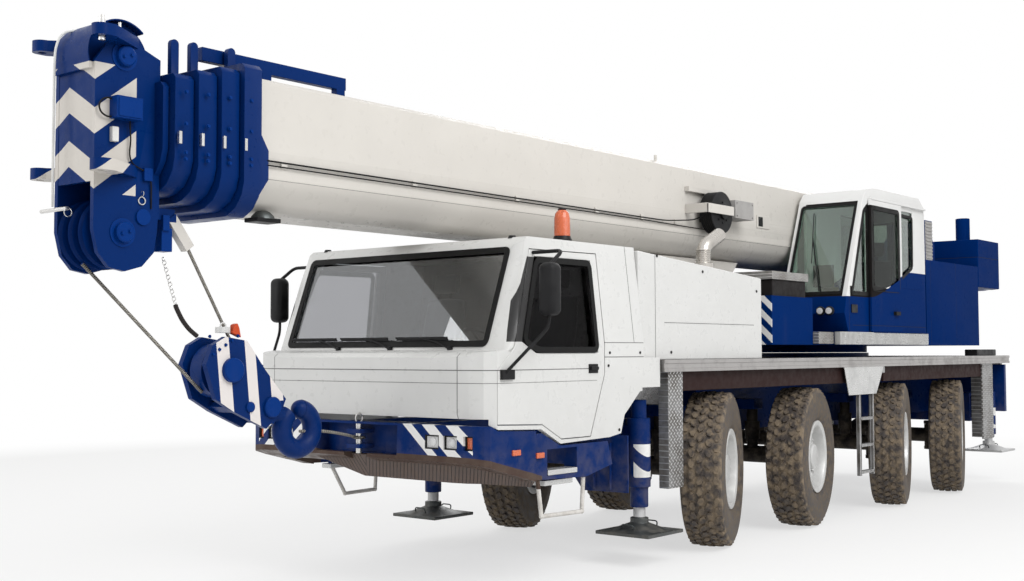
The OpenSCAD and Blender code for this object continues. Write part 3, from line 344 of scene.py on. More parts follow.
def swept(bm, path, radius, sides=10):
    """A round tube that follows a path of points."""
    path = [Vector(p) for p in path]
    way = (path[1] - path[0]).normalized()
    turn = way.to_track_quat("Z", "Y")
    ring = bmesh.ops.create_circle(bm, cap_ends=True, segments=sides, radius=radius,
                                   matrix=Matrix.Translation(path[0]) @ turn.to_matrix().to_4x4())["verts"]
    first = set(ring)
    faces = [f for f in ring[0].link_faces if set(f.verts) <= first]
    for i in range(1, len(path)):
        ahead = path[min(i + 1, len(path) - 1)] - path[i - 1]
        step = way.rotation_difference(ahead.normalized())
        way = ahead.normalized()
        grown = bmesh.ops.extrude_face_region(bm, geom=faces)["geom"]
        verts = verts_in(grown)
        bmesh.ops.translate(bm, vec=path[i] - path[i - 1], verts=verts)
        bmesh.ops.rotate(bm, cent=path[i], matrix=step.to_matrix(), verts=verts)
        if i > 1:
            bmesh.ops.delete(bm, geom=faces, context="FACES_ONLY")
        faces = faces_in(grown)


def rounded(points, radius, steps=4):
    """A smooth path: corners of a line of points drawn as arcs."""
    points = [Vector(p) for p in points]
    line = [points[0]]
    for a, b, c in zip(points, points[1:], points[2:]):
        reach = min(radius, (a - b).length / 2, (c - b).length / 2)
        start, end = b + (a - b).normalized() * reach, b + (c - b).normalized() * reach
        for i in range(steps + 1):
            t = i / steps
            line.append((1 - t) ** 2 * start + 2 * t * (1 - t) * b + t * t * end)
    return line + [points[-1]]


def piece(name, bm, body, slot, *finishes, replaces=(), bevel=0.0, segments=2, angle=35.0, merge=False):
    """Makes a mesh a piece of the crane, riding on a body."""
    if merge:
        bmesh.ops.remove_doubles(bm, verts=bm.verts, dist=1e-5)
        bmesh.ops.recalc_face_normals(bm, faces=bm.faces)
    mesh = bpy.data.meshes.new(name)
    bm.to_mesh(mesh)
    bm.free()
    mesh.shade_smooth()
    mesh.set_sharp_from_angle(angle=radians(angle))
    obj = bpy.data.objects.new(name, mesh)
    bpy.context.scene.collection.objects.link(obj)
    for finish in finishes:
        mesh.materials.append(FINISHES[finish])
    if bevel:
        edge = obj.modifiers.new("edges", "BEVEL")
        edge.width = bevel
        edge.segments = segments
        edge.limit_method = "ANGLE"
        edge.angle_limit = radians(angle)
        edge.harden_normals = True
    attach(obj, body)
    if replaces:
        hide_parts(*replaces)
    return obj


def fitted(name, bm, body, slot, *finishes, **options):
    """A piece drawn from the first axle."""
    bmesh.ops.translate(bm, vec=(FRONT_AXLE, 0, 0), verts=bm.verts)
    return piece(name, bm, body, slot, *finishes, **options)


def both_sides(bm):
    """Adds the mirror image across the machine's middle."""
    bmesh.ops.mirror(bm, geom=bm.verts[:] + bm.edges[:] + bm.faces[:], axis="Y", merge_dist=-1.0)
    bmesh.ops.recalc_face_normals(bm, faces=bm.faces)


def boxes(name, body, slot, finish, *corners, mirrored=False, **options):
    """A piece made of boxes, each between two corners."""
    bm = bmesh.new()
    for low, high in corners:
        block(bm, low, high)
    if mirrored:
        both_sides(bm)
    fitted(name, bm, body, slot, finish, **options)


def plates(name, body, slot, finish, axis, *cuts, mirrored=False, **options):
    """A piece made of plates across one axis, each an outline with its low and high side."""
    bm = bmesh.new()
    for outline, low, high in cuts:
        plate(bm, outline, axis, low, high)
    if mirrored:
        both_sides(bm)
    fitted(name, bm, body, slot, finish, **options)


def flipped(bm, sign):
    """Turns a left piece into a right one where the sign is negative."""
    if sign < 0:
        bmesh.ops.scale(bm, vec=(1, -1, 1), verts=bm.verts)
        bmesh.ops.reverse_faces(bm, faces=bm.faces)


def seal(bm, outline, width, depth, radius, place):
    """A ring with rounded corners round a window; place turns (along, up, out) into a point."""
    verts = [bm.verts.new((u, v, 0.0)) for u, v in outline]
    face = bm.faces.new(verts)
    bmesh.ops.bevel(bm, geom=verts, offset=radius, offset_type="OFFSET", affect="VERTICES", segments=5, profile=0.5,
                    material=-1)
    face = max((f for f in bm.faces if all(abs(v.co.z) < 1e-9 for v in f.verts)), key=lambda f: f.calc_area())
    ring = bmesh.ops.inset_region(bm, faces=[face], thickness=width, use_boundary=True)["faces"]
    bmesh.ops.delete(bm, geom=[face], context="FACES_ONLY")
    grown = bmesh.ops.extrude_face_region(bm, geom=ring)["geom"]
    bmesh.ops.translate(bm, vec=(0, 0, depth), verts=verts_in(grown))
    made = {v for f in ring for v in f.verts} | set(verts_in(grown))
    for v in made:
        v.co = Vector(place(*v.co))
    bmesh.ops.recalc_face_normals(bm, faces=list({f for v in made for f in v.link_faces}))


def ring(bm, centre, axis, radius, thick, steps=14):
    """A round wire ring."""
    axis = Vector(axis).normalized()
    side = axis.orthogonal().normalized()
    place = Matrix.Translation(Vector(centre) + side * radius) @ axis.cross(side).to_track_quat("Z",
                                                                                                "Y").to_matrix().to_4x4()
    verts = bmesh.ops.create_circle(bm, segments=6, radius=thick, matrix=place)["verts"]
    edges = list({e for v in verts for e in v.link_edges})
    bmesh.ops.spin(bm, geom=verts + edges, cent=centre, axis=axis, angle=2 * pi, steps=steps, use_merge=True)


def bolt(bm, foot, way, radius, height=0.012):
    """A hexagon head on a washer."""
    foot, way = Vector(foot), Vector(way).normalized()
    rod(bm, foot, foot + way * height * 0.25, radius * 1.35, 12)
    rod(bm, foot + way * height * 0.25, foot + way * height, radius, 6)


def softened(node, name, body, slot, finish, bevel=0.006, segments=2, angle=35.0):
    """The node's own shape with its edges broken, in the node's place."""
    bm = bmesh.new()
    bm.from_mesh(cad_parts[node].data)
    bmesh.ops.remove_doubles(bm, verts=bm.verts, dist=1e-5)
    bmesh.ops.dissolve_limit(bm, angle_limit=radians(0.5), verts=bm.verts, edges=bm.edges)
    return piece(name, bm, body, slot, finish, replaces=(node,), bevel=bevel, segments=segments, angle=angle)


def dressed(node, finish):
    """A node that keeps its own mesh gets a finish."""
    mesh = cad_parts[node].data
    for i in range(len(mesh.materials)):
        mesh.materials[i] = FINISHES[finish]


def screen_x(z):
    """How far ahead of the first axle the windscreen's face stands at a height."""
    return 3.04 - (z - 1.745) * 0.285 / 0.765


def crane_screen_x(z):
    """The same for the crane cab's sloping front."""
    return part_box("crane_cab")[1].x - FRONT_AXLE - 0.05 - (z - 2.29) * 0.45 / 1.09


def door_y(z):
    """How far out the door's face stands at a height."""
    return CAB_SIDE - max(z - CAB_BELT_Z, 0.0) * CAB_SIDE_LEAN


def smooth(points, steps):
    """A curve through points, by Catmull and Rom's rule."""
    points = [Vector(p) for p in points]
    ends = [2 * points[0] - points[1]] + points + [2 * points[-1] - points[-2]]
    line = []
    for a, b, c, d in zip(ends, ends[1:], ends[2:], ends[3:]):
        for i in range(steps):
            t = i / steps
            line.append(0.5 * (2 * b + (c - a) * t + (2 * a - 5 * b + 4 * c - d) * t * t + (3 * b - a - 3 * c + d) * t ** 3))
    return line + [points[-1]]


def cable(name, line, diameter, body, finish):
    """A lead or sleeve that runs from one fitting to another."""
    line = [p + Vector((FRONT_AXLE, 0, 0)) for p in line]
    bm = bmesh.new()
    swept(bm, line, diameter / 2, 10)
    obj = piece(name, bm, body, "black_paint", finish)


def seat(name, foot, body):
    """A sprung seat: base, crowned cushion, back and head rest."""
    x, y, z = foot[0] + FRONT_AXLE, foot[1], foot[2]
    bm = bmesh.new()
    block(bm, (x - 0.18, y - 0.18, z + 0.002), (x + 0.18, y + 0.18, z + 0.19))
    for turn in (-1, 1):
        rod(bm, (x - 0.25, y + 0.07 * turn, z + 0.86), (x - 0.27, y + 0.07 * turn, z + 0.97), 0.008, 8)
    piece(f"{name}_base", bm, body, "black_paint", "black_plastic", bevel=0.02)
    bm = bmesh.new()
    pad(bm, (x, y, z + 0.26), (0.48, 0.48, 0.14), 0.0)
    pad(bm, (x - 0.24, y, z + 0.59), (0.13, 0.46, 0.56), -10.0)
    pad(bm, (x - 0.285, y, z + 0.99), (0.10, 0.27, 0.17), -10.0)
    obj = piece(f"{name}_pads", bm, body, "interior", "seat_cloth", angle=60.0)


def pad(bm, centre, size, lean):
    """A crowned cushion: a fine box whose faces swell and whose sides draw in between the corners."""
    part = bmesh.new()
    bmesh.ops.create_cube(part, size=1.0)
    bmesh.ops.subdivide_edges(part, edges=part.edges[:], cuts=9, use_grid_fill=True)
    for v in part.verts:
        u = [2 * c for c in v.co]
        reach = max(abs(c) for c in u)
        swell = Vector(u).lerp(Vector(u).normalized() * reach, 0.28)
        thin = min(range(3), key=lambda k: size[k])
        crown = 1.0
        for k in range(3):
            if k != thin:
                crown *= 1 - 0.35 * u[k] ** 4
        swell[thin] *= crown
        if abs(u[thin]) > 0.99 and abs(abs(u[1]) - 0.6) < 0.06:
            swell[thin] *= 0.86
        v.co = Vector(swell[k] * size[k] / 2 for k in range(3))
    bmesh.ops.rotate(part, matrix=Matrix.Rotation(radians(lean), 3, "Y"), verts=part.verts)
    bmesh.ops.translate(part, vec=centre, verts=part.verts)
    mesh = bpy.data.meshes.new("cushion")
    part.to_mesh(mesh)
    part.free()
    bm.from_mesh(mesh)
    bpy.data.meshes.remove(mesh)


def colour_of(name, description, default):
    """A colour that a user can change."""
    return FloatVectorProperty(name=name, description=description, subtype="COLOR", size=3, min=0, max=1,
                               default=default)


class CraneColours(bpy.types.PropertyGroup):
    """Paint and trim colours."""

    deep_blue: colour_of("Deep blue", "Upper structure, bumper and hook block", (0.0008, 0.020, 0.118))
    cab_white: colour_of("Cab white", "Driver's cab and engine hood", (0.63, 0.63, 0.617))
    boom_cream: colour_of("Boom cream", "Boom sections", (0.60, 0.575, 0.535))
    stripe_white: colour_of("Stripe white", "Warning stripes", (0.78, 0.78, 0.77))
    tyre: colour_of("Tyre", "Tyre rubber", (0.045, 0.036, 0.033))
    dust: colour_of("Dust", "Dust on the tyre walls", (0.20, 0.155, 0.105))


class CraneSizes(bpy.types.PropertyGroup):
    """Sizes of the fittings."""

    tread_blocks: IntProperty(name="Tread blocks", description="Blocks in one row round a tyre", default=46, min=24,
                              max=64)
    tread_depth: FloatProperty(name="Tread depth", description="Depth of the tread grooves",
                               default=0.018, min=0.008, max=0.03, unit="LENGTH")
    seal: FloatProperty(name="Window seal", description="Width of the black seal round a window",
                        default=0.045, min=0.02, max=0.08, unit="LENGTH")


class CRANE_OT_stage(bpy.types.Operator):
    """Camera at the photograph's place, pale floor and soft light"""

    bl_idname = "crane.stage"
    bl_label = "Stage and camera"

    def execute(self, context):
        scene = context.scene
        scene.view_settings.view_transform = "Standard"
        yaw, pitch, roll = CAMERA_YAW, CAMERA_PITCH, CAMERA_ROLL
        ahead = Vector((-cos(yaw) * cos(pitch), -sin(yaw) * cos(pitch), sin(pitch)))
        right = ahead.cross(Vector((0, 0, 1))).normalized()
        up = right.cross(ahead)
        right, up = right * cos(roll) + up * sin(roll), up * cos(roll) - right * sin(roll)
        data = bpy.data.cameras.new("camera")
        data.sensor_width = 36.0
        data.lens = CAMERA_LENS
        camera = bpy.data.objects.new("camera", data)
        place = Matrix((right, up, -ahead)).transposed().to_4x4()
        place.translation = at(*CAMERA_PLACE)
        camera.matrix_world = place
        scene.collection.objects.link(camera)
        scene.camera = camera

        bm = bmesh.new()
        bmesh.ops.create_circle(bm, cap_ends=True, segments=64, radius=60.0)
        mesh = bpy.data.meshes.new("floor")
        bm.to_mesh(mesh)
        bm.free()
        floor = bpy.data.objects.new("floor", mesh)
        scene.collection.objects.link(floor)
        mesh.materials.append(self.floor_finish())
        self.world(scene)
        self.lamp("key", at(3.0, 11.0, 11.0), at(-1.0, 0.0, 1.5), 9.0, 1500.0)
        self.lamp("fill", at(13.0, -5.0, 7.0), at(0.0, 0.0, 1.5), 9.0, 600.0)
        self.lamp("back", at(-14.0, -6.0, 9.0), at(-2.0, 0.0, 1.5), 9.0, 700.0)
        return {"FINISHED"}

    def seen(self, f):
        """1 where a camera, glossy or transmitted ray looks."""
        path = f.nodes.new("ShaderNodeLightPath").outputs
        return f.either(path["Is Camera Ray"], path["Is Glossy Ray"], path["Is Transmission Ray"])

    def floor_finish(self):
        f = Finish("pale_floor", (0.8, 0.8, 0.79), 0.9)
        f.set("Base Color", f.mix(f.noise(3.0, 4.0), (0.79, 0.79, 0.785), (0.81, 0.81, 0.80)))
        white = f.add("ShaderNodeEmission", Color=(1.0, 1.0, 1.0, 1.0), Strength=1.0)
        away = f.op("SQRT", f.op("ADD", f.op("MULTIPLY", f.x, f.x), f.op("MULTIPLY", f.y, f.y)))
        share = f.op("MAXIMUM", f.ramp(away, 8.0, 16.0), 0.62)
        mix = f.nodes.new("ShaderNodeMixShader")
        f.links.new(f.op("MULTIPLY", self.seen(f), share), mix.inputs[0])
        f.links.new(f.shader.outputs[0], mix.inputs[1])
        f.links.new(white.outputs[0], mix.inputs[2])
        f.links.new(mix.outputs[0], f.nodes["Material Output"].inputs["Surface"])
        return f.material

    def world(self, scene):
        scene.world = bpy.data.worlds.new("studio")
        scene.world.use_nodes = True
        nodes, links = scene.world.node_tree.nodes, scene.world.node_tree.links
        path = nodes.new("ShaderNodeLightPath").outputs
        seen = path["Is Camera Ray"]
        for ray in ("Is Glossy Ray", "Is Transmission Ray"):
            join = nodes.new("ShaderNodeMath")
            join.operation = "MAXIMUM"
            links.new(seen, join.inputs[0])
            links.new(path[ray], join.inputs[1])
            seen = join.outputs[0]
        level = nodes.new("ShaderNodeMapRange")
        level.inputs["To Min"].default_value = 0.62
        level.inputs["To Max"].default_value = 1.0
        links.new(seen, level.inputs["Value"])
        links.new(level.outputs[0], nodes["Background"].inputs["Strength"])
        nodes["Background"].inputs["Color"].default_value = (1.0, 1.0, 1.0, 1.0)

    def lamp(self, name, place, target, size, power):
        data = bpy.data.lights.new(name, "AREA")
        data.size = size
        data.energy = power
        lamp = bpy.data.objects.new(name, data)
        lamp.matrix_world = Matrix.Translation(place) @ (target - place).to_track_quat("-Z", "Y").to_matrix().to_4x4()
        bpy.context.scene.collection.objects.link(lamp)


class CRANE_OT_finishes(bpy.types.Operator):
    """Paints, metals, rubber and glass used by the pieces"""

    bl_idname = "crane.finishes"
    bl_label = "Finishes"

    def execute(self, context):
        c = context.scene.crane_colours
        blue, white = tuple(c.deep_blue), tuple(c.cab_white)
        cream, stripe = tuple(c.boom_cream), tuple(c.stripe_white)
        black = (0.014, 0.012, 0.012)
        ax = FRONT_AXLE

        paint("blue_paint", blue, gloss=0.06)
        paint("box_blue", tuple(1.5 * v for v in blue), gloss=0.06)
        paint("hood_paint", white, dust=0.2, grooves=[
            lambda f: f.both(f.between(f.z, 1.965, 1.971), f.between(f.x, ax - 0.6, ax + 0.92)),
            lambda f: f.both(f.between(f.x, ax + 1.052, ax + 1.060), f.above(f.z, 1.6))])

        def upright(f):
            """Distance from the middle, as if the leaning side stood upright."""
            return f.line(f.wide, f.op("MAXIMUM", f.op("SUBTRACT", f.z, CAB_BELT_Z), 0.0), 0.117)

        # Inner faces of the cab painted near-black: dark trim, and painted shade for the dim inside seen through the
        # windows.
        def cab_lining_and_shade(f):
            side = upright(f)
            slope = f.line(f.x, f.z, 0.3725)
            ends = f.both(f.above(f.x, ax + 1.34), f.below(slope, ax + 3.655),
                          f.below(f.op("ADD", slope, side), ax + 4.70))
            return f.both(f.below(side, 1.22), ends, f.between(f.z, 1.28, 2.54))

        # The door's front quarter window is painted near-black on the panel: painted shade for the dim cab inside
        # behind it.
        def quarter_window_shade(f):
            front = f.below(f.line(f.x, f.z, 0.5267), ax + 3.985)
            return f.both(f.above(upright(f), 1.2), front, f.above(f.x, ax + 2.4), f.between(f.z, 1.80, 2.42))

        # Painted shade: the cab's inside faces and the door's front quarter window are painted dark.
        cab_areas = [(cab_lining_and_shade, (0.055, 0.05, 0.047)), (quarter_window_shade, (0.012, 0.0115, 0.012))]
        paint("cab_paint", white, cab_areas, dust=0.15, grooves=[
            lambda f: f.both(f.between(f.z, 1.508, 1.512), f.above(f.x, ax + 1.95)),
            lambda f: f.both(f.between(f.z, 1.597, 1.604), f.above(f.x, ax + 1.95)),
            lambda f: f.both(f.between(f.wide, 0.975, 0.982), f.above(f.x, ax + 3.15), f.below(f.z, 1.72)),
            lambda f: f.both(f.between(f.x, ax + 1.44, ax + 1.447), f.above(f.z, 1.80)),
            lambda f: f.both(f.between(f.z, 1.795, 1.801), f.below(f.x, ax + 1.85)),
            lambda f: f.both(f.between(f.z, 1.683, 1.690), f.below(f.x, ax + 1.85))])
        paint("black_paint", black, roughness=0.5, dust=0.5, coat=0.0, gloss=0.1)
        paint("skirt_paint", (0.028, 0.0145, 0.0135), roughness=0.55, dust=0.3, coat=0.0, gloss=0.08)

        def base_collar(f):
            gusset = f.both(f.above(f.x, ax + 4.485), f.above(f.wide, 0.4205))
            return f.either(f.above(f.x, ax + COLLAR_X), gusset)

        paint("boom_paint", cream, [(base_collar, blue)], dust=0.0, gloss=0.12, grooves=[
            lambda f: f.both(f.between(f.z, 2.865, 2.868), f.below(f.x, ax + 4.5))])
        for k in (2, 3, 4):
            edge = ax + COLLAR_X + COLLAR_STEP * (k - 1)
            paint(f"boom_paint_{k}", cream, [(lambda f, edge=edge: f.above(f.x, edge), blue)], dust=0.0, gloss=0.06)
        paint("fitting_paint", cream, [(lambda f: f.above(f.x, ax + 3.0), blue), (lambda f: f.above(f.y, 0.41), black)],
              dust=0.0, gloss=0.06)

        def head_stripes(f):
            y = f.wide
            side = f.above(y, 0.2135)
            across = f.line(f.line(f.z, f.op("SUBTRACT", f.x, ax), 0.778), 1.0, -7.42)
            peak = f.line(f.line(f.z, f.op("ABSOLUTE", f.op("ADD", f.y, 0.065)), 0.56), 1.0, -3.197)
            bands = [f.below(f.repeat(w, 0.33), 0.48) for w in (across, peak)]
            flank = f.both(side, f.above(f.x, ax + 5.342), bands[0])
            front = f.both(f.op("SUBTRACT", 1.0, side), f.above(f.x, ax + 5.615), bands[1])
            return f.both(f.between(f.z, 2.69, 3.478), f.either(flank, front))

        def head_blue(f):
            lug = f.both(f.above(f.x, ax + 4.995), f.between(f.z, 2.558, 2.66))
            return f.either(f.above(f.x, ax + 5.165), lug)

        paint("head_paint", cream, [(head_blue, blue), (head_stripes, (0.56, 0.53, 0.49))], dust=0.0, gloss=0.06)

        def bumper_stripes(f):
            y = f.wide
            u = f.line(y, f.z, 1.2)
            bands = f.either(f.between(u, 1.94, 2.03), f.between(u, 2.13, 2.25), f.between(u, 2.36, 2.48))
            return f.both(f.above(f.x, ax + 3.1), f.between(y, 0.44, 1.14), bands)

        def bumper_foot(f):
            sloped = f.below(f.line(f.z, f.x, -0.25), 0.1795 - 0.25 * ax)
            return f.both(f.above(f.x, ax + 2.62), f.above(f.z, 0.74), sloped)

        paint("bumper_paint", blue, [(bumper_stripes, stripe), (lambda f: f.below(f.z, 0.785), (0.62, 0.60, 0.57)),
                                     (bumper_foot, (0.07, 0.045, 0.037))], gloss=0.06)

        def block_stripes(f):
            u = f.line(f.op("SUBTRACT", f.x, ax), f.z, -0.105)
            bands = f.either(f.between(u, 4.385, 4.487), f.between(u, 4.17, 4.255),
                             f.both(f.between(u, 3.96, 4.06), f.above(f.z, 1.40)))
            return f.both(f.above(f.wide, 0.1485), f.above(f.z, 1.2), bands)

        paint("block_paint", blue, [(block_stripes, (0.70, 0.66, 0.64))], dust=0.1, gloss=0.08)

        def jack_stripes(f):
            u = f.repeat(f.line(f.z, f.op("ABSOLUTE", f.op("SUBTRACT", f.wide, 1.05)), 1.0), 0.24)
            return f.both(f.between(f.z, 0.70, 0.97), f.above(f.wide, 1.06), f.below(u, 0.5))

        paint("jack_paint", blue, [(jack_stripes, stripe)], gloss=0.06)

        def front_box_stripes(f):
            u = f.repeat(f.line(f.z, f.y, 0.95), 0.152)
            return f.both(f.above(f.x, ax - 1.066), f.between(f.y, 0.93, 1.15), f.below(u, 0.5))

        def rear_box_lines(f):
            return f.both(f.above(f.y, 1.19), f.between(f.z, 1.80, 3.0), f.either(f.between(f.x, ax - 5.72, ax - 5.715),
                          f.between(f.x, ax - 4.90, ax - 4.895)))

        paint("upper_paint", blue, [(front_box_stripes, stripe)], gloss=0.004, grooves=[rear_box_lines])

        def ballast_stripes(f):
            u = f.repeat(f.line(f.z, f.wide, 1.0), 0.16)
            return f.both(f.below(f.x, ax - 7.32), f.below(f.z, 2.86), f.above(f.wide, 0.9), f.below(u, 0.5))

        paint("ballast_paint", blue, [(ballast_stripes, stripe)], gloss=0.004,
              grooves=[lambda f: f.between(f.z, 2.925, 2.932)])

        def cab_blue(f):
            curve = f.ramp(f.x, ax - 3.05, ax - 4.25, 2.30, 2.62)
            return f.below(f.z, curve)

        def cab_black(f):
            front = f.both(f.above(f.line(f.x, f.z, 0.4128), ax - 1.617), f.between(f.z, 2.30, 3.34),
                           f.between(f.y, 0.56, 1.165))
            # The pillar between the front and door windows is painted black so that it reads as part of the dark window
            # beside it: painted shade.
            pillar = f.both(f.above(f.y, 1.2), f.between(f.x, ax - 3.20, ax - 3.06), f.between(f.z, 2.36, 3.30))
            return f.either(front, pillar, f.both(f.above(f.y, 1.2), f.between(f.x, ax - 3.86, ax - 2.64),
                                                  f.below(f.z, 2.41)))

        paint("crane_cab_paint", (0.72, 0.72, 0.71), [(cab_black, black), (cab_blue, blue)], gloss=0.004, dust=0.0,
              grooves=[
            lambda f: f.both(f.between(f.z, 1.995, 2.001), f.below(f.x, ax - 2.7)),
            lambda f: f.both(f.between(f.x, ax - 2.62, ax - 2.614), f.below(f.z, 2.3), f.above(f.y, 1.2))])
        metal("steel", (0.42, 0.42, 0.43), 0.32)
        metal("bright_steel", (0.72, 0.71, 0.69), 0.25, tarnish=0.2)
        metal("rod_steel", (0.62, 0.62, 0.63), 0.16, (1.0, 1.0, 8.0), 0.15)
        metal("rim_grey", (0.66, 0.66, 0.65), 0.42, metallic=0.25, tarnish=0.35)
        metal("rail_aluminium", (0.42, 0.405, 0.395), 0.4, (0.05, 1.0, 1.0), 0.4, 0.6)
        metal("edge_aluminium", (0.66, 0.66, 0.65), 0.36, (0.05, 1.0, 1.0), 0.3, 0.7)
        metal("exhaust_metal", (0.60, 0.57, 0.53), 0.36, tarnish=0.55)
        metal("pad_steel", (0.10, 0.11, 0.11), 0.5, tarnish=0.6)
        chequer("deck_plate", (0.60, 0.60, 0.60), "x", "y")
        chequer("side_chequer", (0.62, 0.62, 0.62), "x", "z", 0.05)
        chequer("step_grate", (0.66, 0.65, 0.63), "x", "z", 0.03)
        pane_glass("cab_pane", (0.62, 0.66, 0.69), 2.0)
        pane_glass("door_pane", (0.36, 0.34, 0.35), 1.12)
        pane_glass("crane_pane", (0.66, 0.84, 0.74), 1.85)
        # The crane cab's door pane is tinted dark so that the inside behind it reads dark: painted shade.
        pane_glass("crane_side_pane", (0.30, 0.35, 0.32), 1.15)
        plastic("black_plastic", (0.010, 0.010, 0.011), 0.45)
        plastic("seal_rubber", (0.006, 0.006, 0.006), 0.6)
        plastic("grey_plastic", (0.36, 0.35, 0.34), 0.5)
        plastic("white_plastic", (0.66, 0.66, 0.64), 0.5)
        plastic("orange_plastic", (0.55, 0.07, 0.02), 0.45)
        plastic("dash_plastic", (0.035, 0.032, 0.03), 0.6)
        plastic("sleeve_rubber", (0.022, 0.018, 0.017), 0.6)
        self.pan()
        self.wire()
        self.leg()
        lens("amber_lens", (0.72, 0.13, 0.03))
        lens("red_lens", (0.5, 0.02, 0.015))
        lens("clear_lens", (0.8, 0.8, 0.8))
        rubber("tread_rubber", tuple(c.tyre), tuple(1.35 * v for v in c.dust), 0.95)
        rubber("wall_rubber", tuple(c.tyre), tuple(c.dust), 0.7, 22.0)
        fabric("seat_cloth", (0.05, 0.055, 0.06))
        return {"FINISHED"}

    def pan(self):
        """Ribbed brown apron below the bumper."""
        f = Finish("pan_brown", (0.085, 0.058, 0.048), 0.6)
        rib = f.repeat(f.op("SUBTRACT", f.wide, f.x), 0.036)
        # The rib lines are painted near-black: painted shade in the grooves between the ribs.
        line = f.ramp(f.op("ABSOLUTE", f.op("SUBTRACT", rib, 0.5)), 0.36, 0.48)
        dirt = f.ramp(f.noise(11.0, 6.0), 0.4, 0.7)
        base = f.mix(f.op("MULTIPLY", dirt, 0.5), f.colour, (0.15, 0.11, 0.09))
        f.set("Base Color", f.mix(line, base, (0.012, 0.009, 0.008)))
        f.set("Roughness", f.ramp(dirt, 0.0, 1.0, 0.55, 0.8))
        f.set("Normal", f.bump(f.op("SUBTRACT", 1.0, line), 0.006, 0.8))

    def leg(self):
        """Bright jack rod above a dark painted pad."""
        f = Finish("jack_leg", (0.10, 0.105, 0.105), 0.5, Metallic=0.35)
        pad = f.below(f.z, 0.375)
        worn = f.ramp(f.noise(8.0, 6.0), 0.4, 0.7)
        dark = f.mix(f.op("MULTIPLY", worn, 0.6), (0.055, 0.06, 0.06), (0.16, 0.15, 0.13))
        f.set("Base Color", f.mix(pad, (0.50, 0.50, 0.50), dark))
        f.set("Roughness", f.ramp(worn, 0.0, 1.0, 0.4, 0.7))
        f.set("Normal", f.bump(f.noise(120.0, 3.0), 0.0006, 0.5))

    def wire(self):
        """Stranded wire rope."""
        f = Finish("wire_rope", (0.16, 0.15, 0.13), 0.45, Metallic=0.6)
        lay = f.op("SINE", f.op("MULTIPLY", f.line(f.line(f.z, f.x, 0.7), f.y, 2.5), 420.0))
        # The lay is painted into the colour: near-black in the valleys between strands and light on their crowns,
        # painted shade and painted highlight.
        f.set("Base Color", f.mix(f.ramp(lay, -0.6, 0.8), (0.03, 0.027, 0.025), (0.34, 0.32, 0.28)))
        f.set("Roughness", f.ramp(f.noise(20.0, 4.0), 0.3, 0.7, 0.35, 0.6))
        f.set("Normal", f.bump(lay, 0.002, 0.7))


class CRANE_OT_carrier(bpy.types.Operator):
    """Frame, deck, mudguards, axles, engine hood and exhaust"""

    bl_idname = "crane.carrier"
    bl_label = "Carrier"

    def execute(self, context):
        for node, name, slot, finish, bevel in (
                ("chassis_frame", "carrier_frame", "blue_paint", "blue_paint", 0.008),
                ("deck", "deck_plates", "aluminium", "deck_plate", 0.003),
                ("mudguards", "wheel_skirts", "black_paint", "skirt_paint", 0.006),
                ("side_plates", "corner_plates", "aluminium", "side_chequer", 0.002),
                ("axles", "axle_beams", "black_paint", "black_paint", 0.006),
                ("engine", "engine_block", "steel", "steel", 0.02)):
            softened(node, name, "carrier", slot, finish, bevel)
        softened("engine_hood", "hood", "carrier", "white_paint", "hood_paint", 0.022, 3)
        for i in range(1, 5):
            for side, _ in SIDES:
                softened(f"knuckle_{i}_{side}", f"steering_knuckle_{i}_{side}", f"hub_{i}_{side}", "black_paint",
                         "black_paint", 0.005)
        self.exhaust()
        self.deck_edges()
        self.end_plates()
        return {"FINISHED"}

    def deck_edges(self):
        """Extruded strip along each side of the deck, the plate over the ladder and a case at the rear."""
        line = [(1.27, 1.56), (1.287, 1.56), (1.287, 1.585), (1.280, 1.59), (1.280, 1.625), (1.287, 1.63),
                (1.287, 1.66), (1.27, 1.66)]
        plates("deck_edges", "carrier", "aluminium", "rail_aluminium", "x", (line, -7.38, 1.05), mirrored=True)
        line = [(-2.33, 1.575), (-3.33, 1.575), (-3.115, 1.27), (-2.44, 1.27)]
        plates("ladder_tray", "carrier", "aluminium", "edge_aluminium", "y", (line, 1.2705, 1.281), bevel=0.003)
        boxes("deck_case", "carrier", "black_paint", "black_plastic", ((-7.0, 1.08, 1.66), (-6.3, 1.24, 1.74)),
              bevel=0.01, segments=3)

    def end_plates(self):
        """Blue end plates of the front outrigger box, with their ribs."""
        bm = bmesh.new()
        plate(bm, [(0.74, 0.60), (1.185, 0.605), (1.185, 1.06), (0.66, 1.06), (0.66, 0.70)], "x", 1.436, 1.45)
        for y in (0.86, 1.02):
            block(bm, (1.45, y, 0.62), (1.475, y + 0.012, 1.0))
        both_sides(bm)
        fitted("outrigger_end_plates", bm, "carrier", "blue_paint", "blue_paint", bevel=0.003)

    def exhaust(self):
        """Bellows and elbow on a flange."""
        x, y, z = FRONT_AXLE - 0.08, 0.98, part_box("exhaust")[0].z
        bm = bmesh.new()
        turned(bm, [(0.0, 0.0), (0.095, 0.0), (0.095, 0.05), (0.066, 0.06), (0.0, 0.06)], (x, y, z), (0, 0, 1), 32)
        path = rounded([(x, y, z + 0.03), (x, y, z + 0.2), (x - 0.29, y, z + 0.33)], 0.13, 8)
        swept(bm, path, 0.065, 24)
        for i in range(6):
            ring(bm, (x, y, z + 0.08 + 0.018 * i), (0, 0, 1), 0.0645, 0.0065, 24)
        piece("exhaust_elbow", bm, "carrier", "aluminium", "exhaust_metal", replaces=("exhaust",), merge=True)


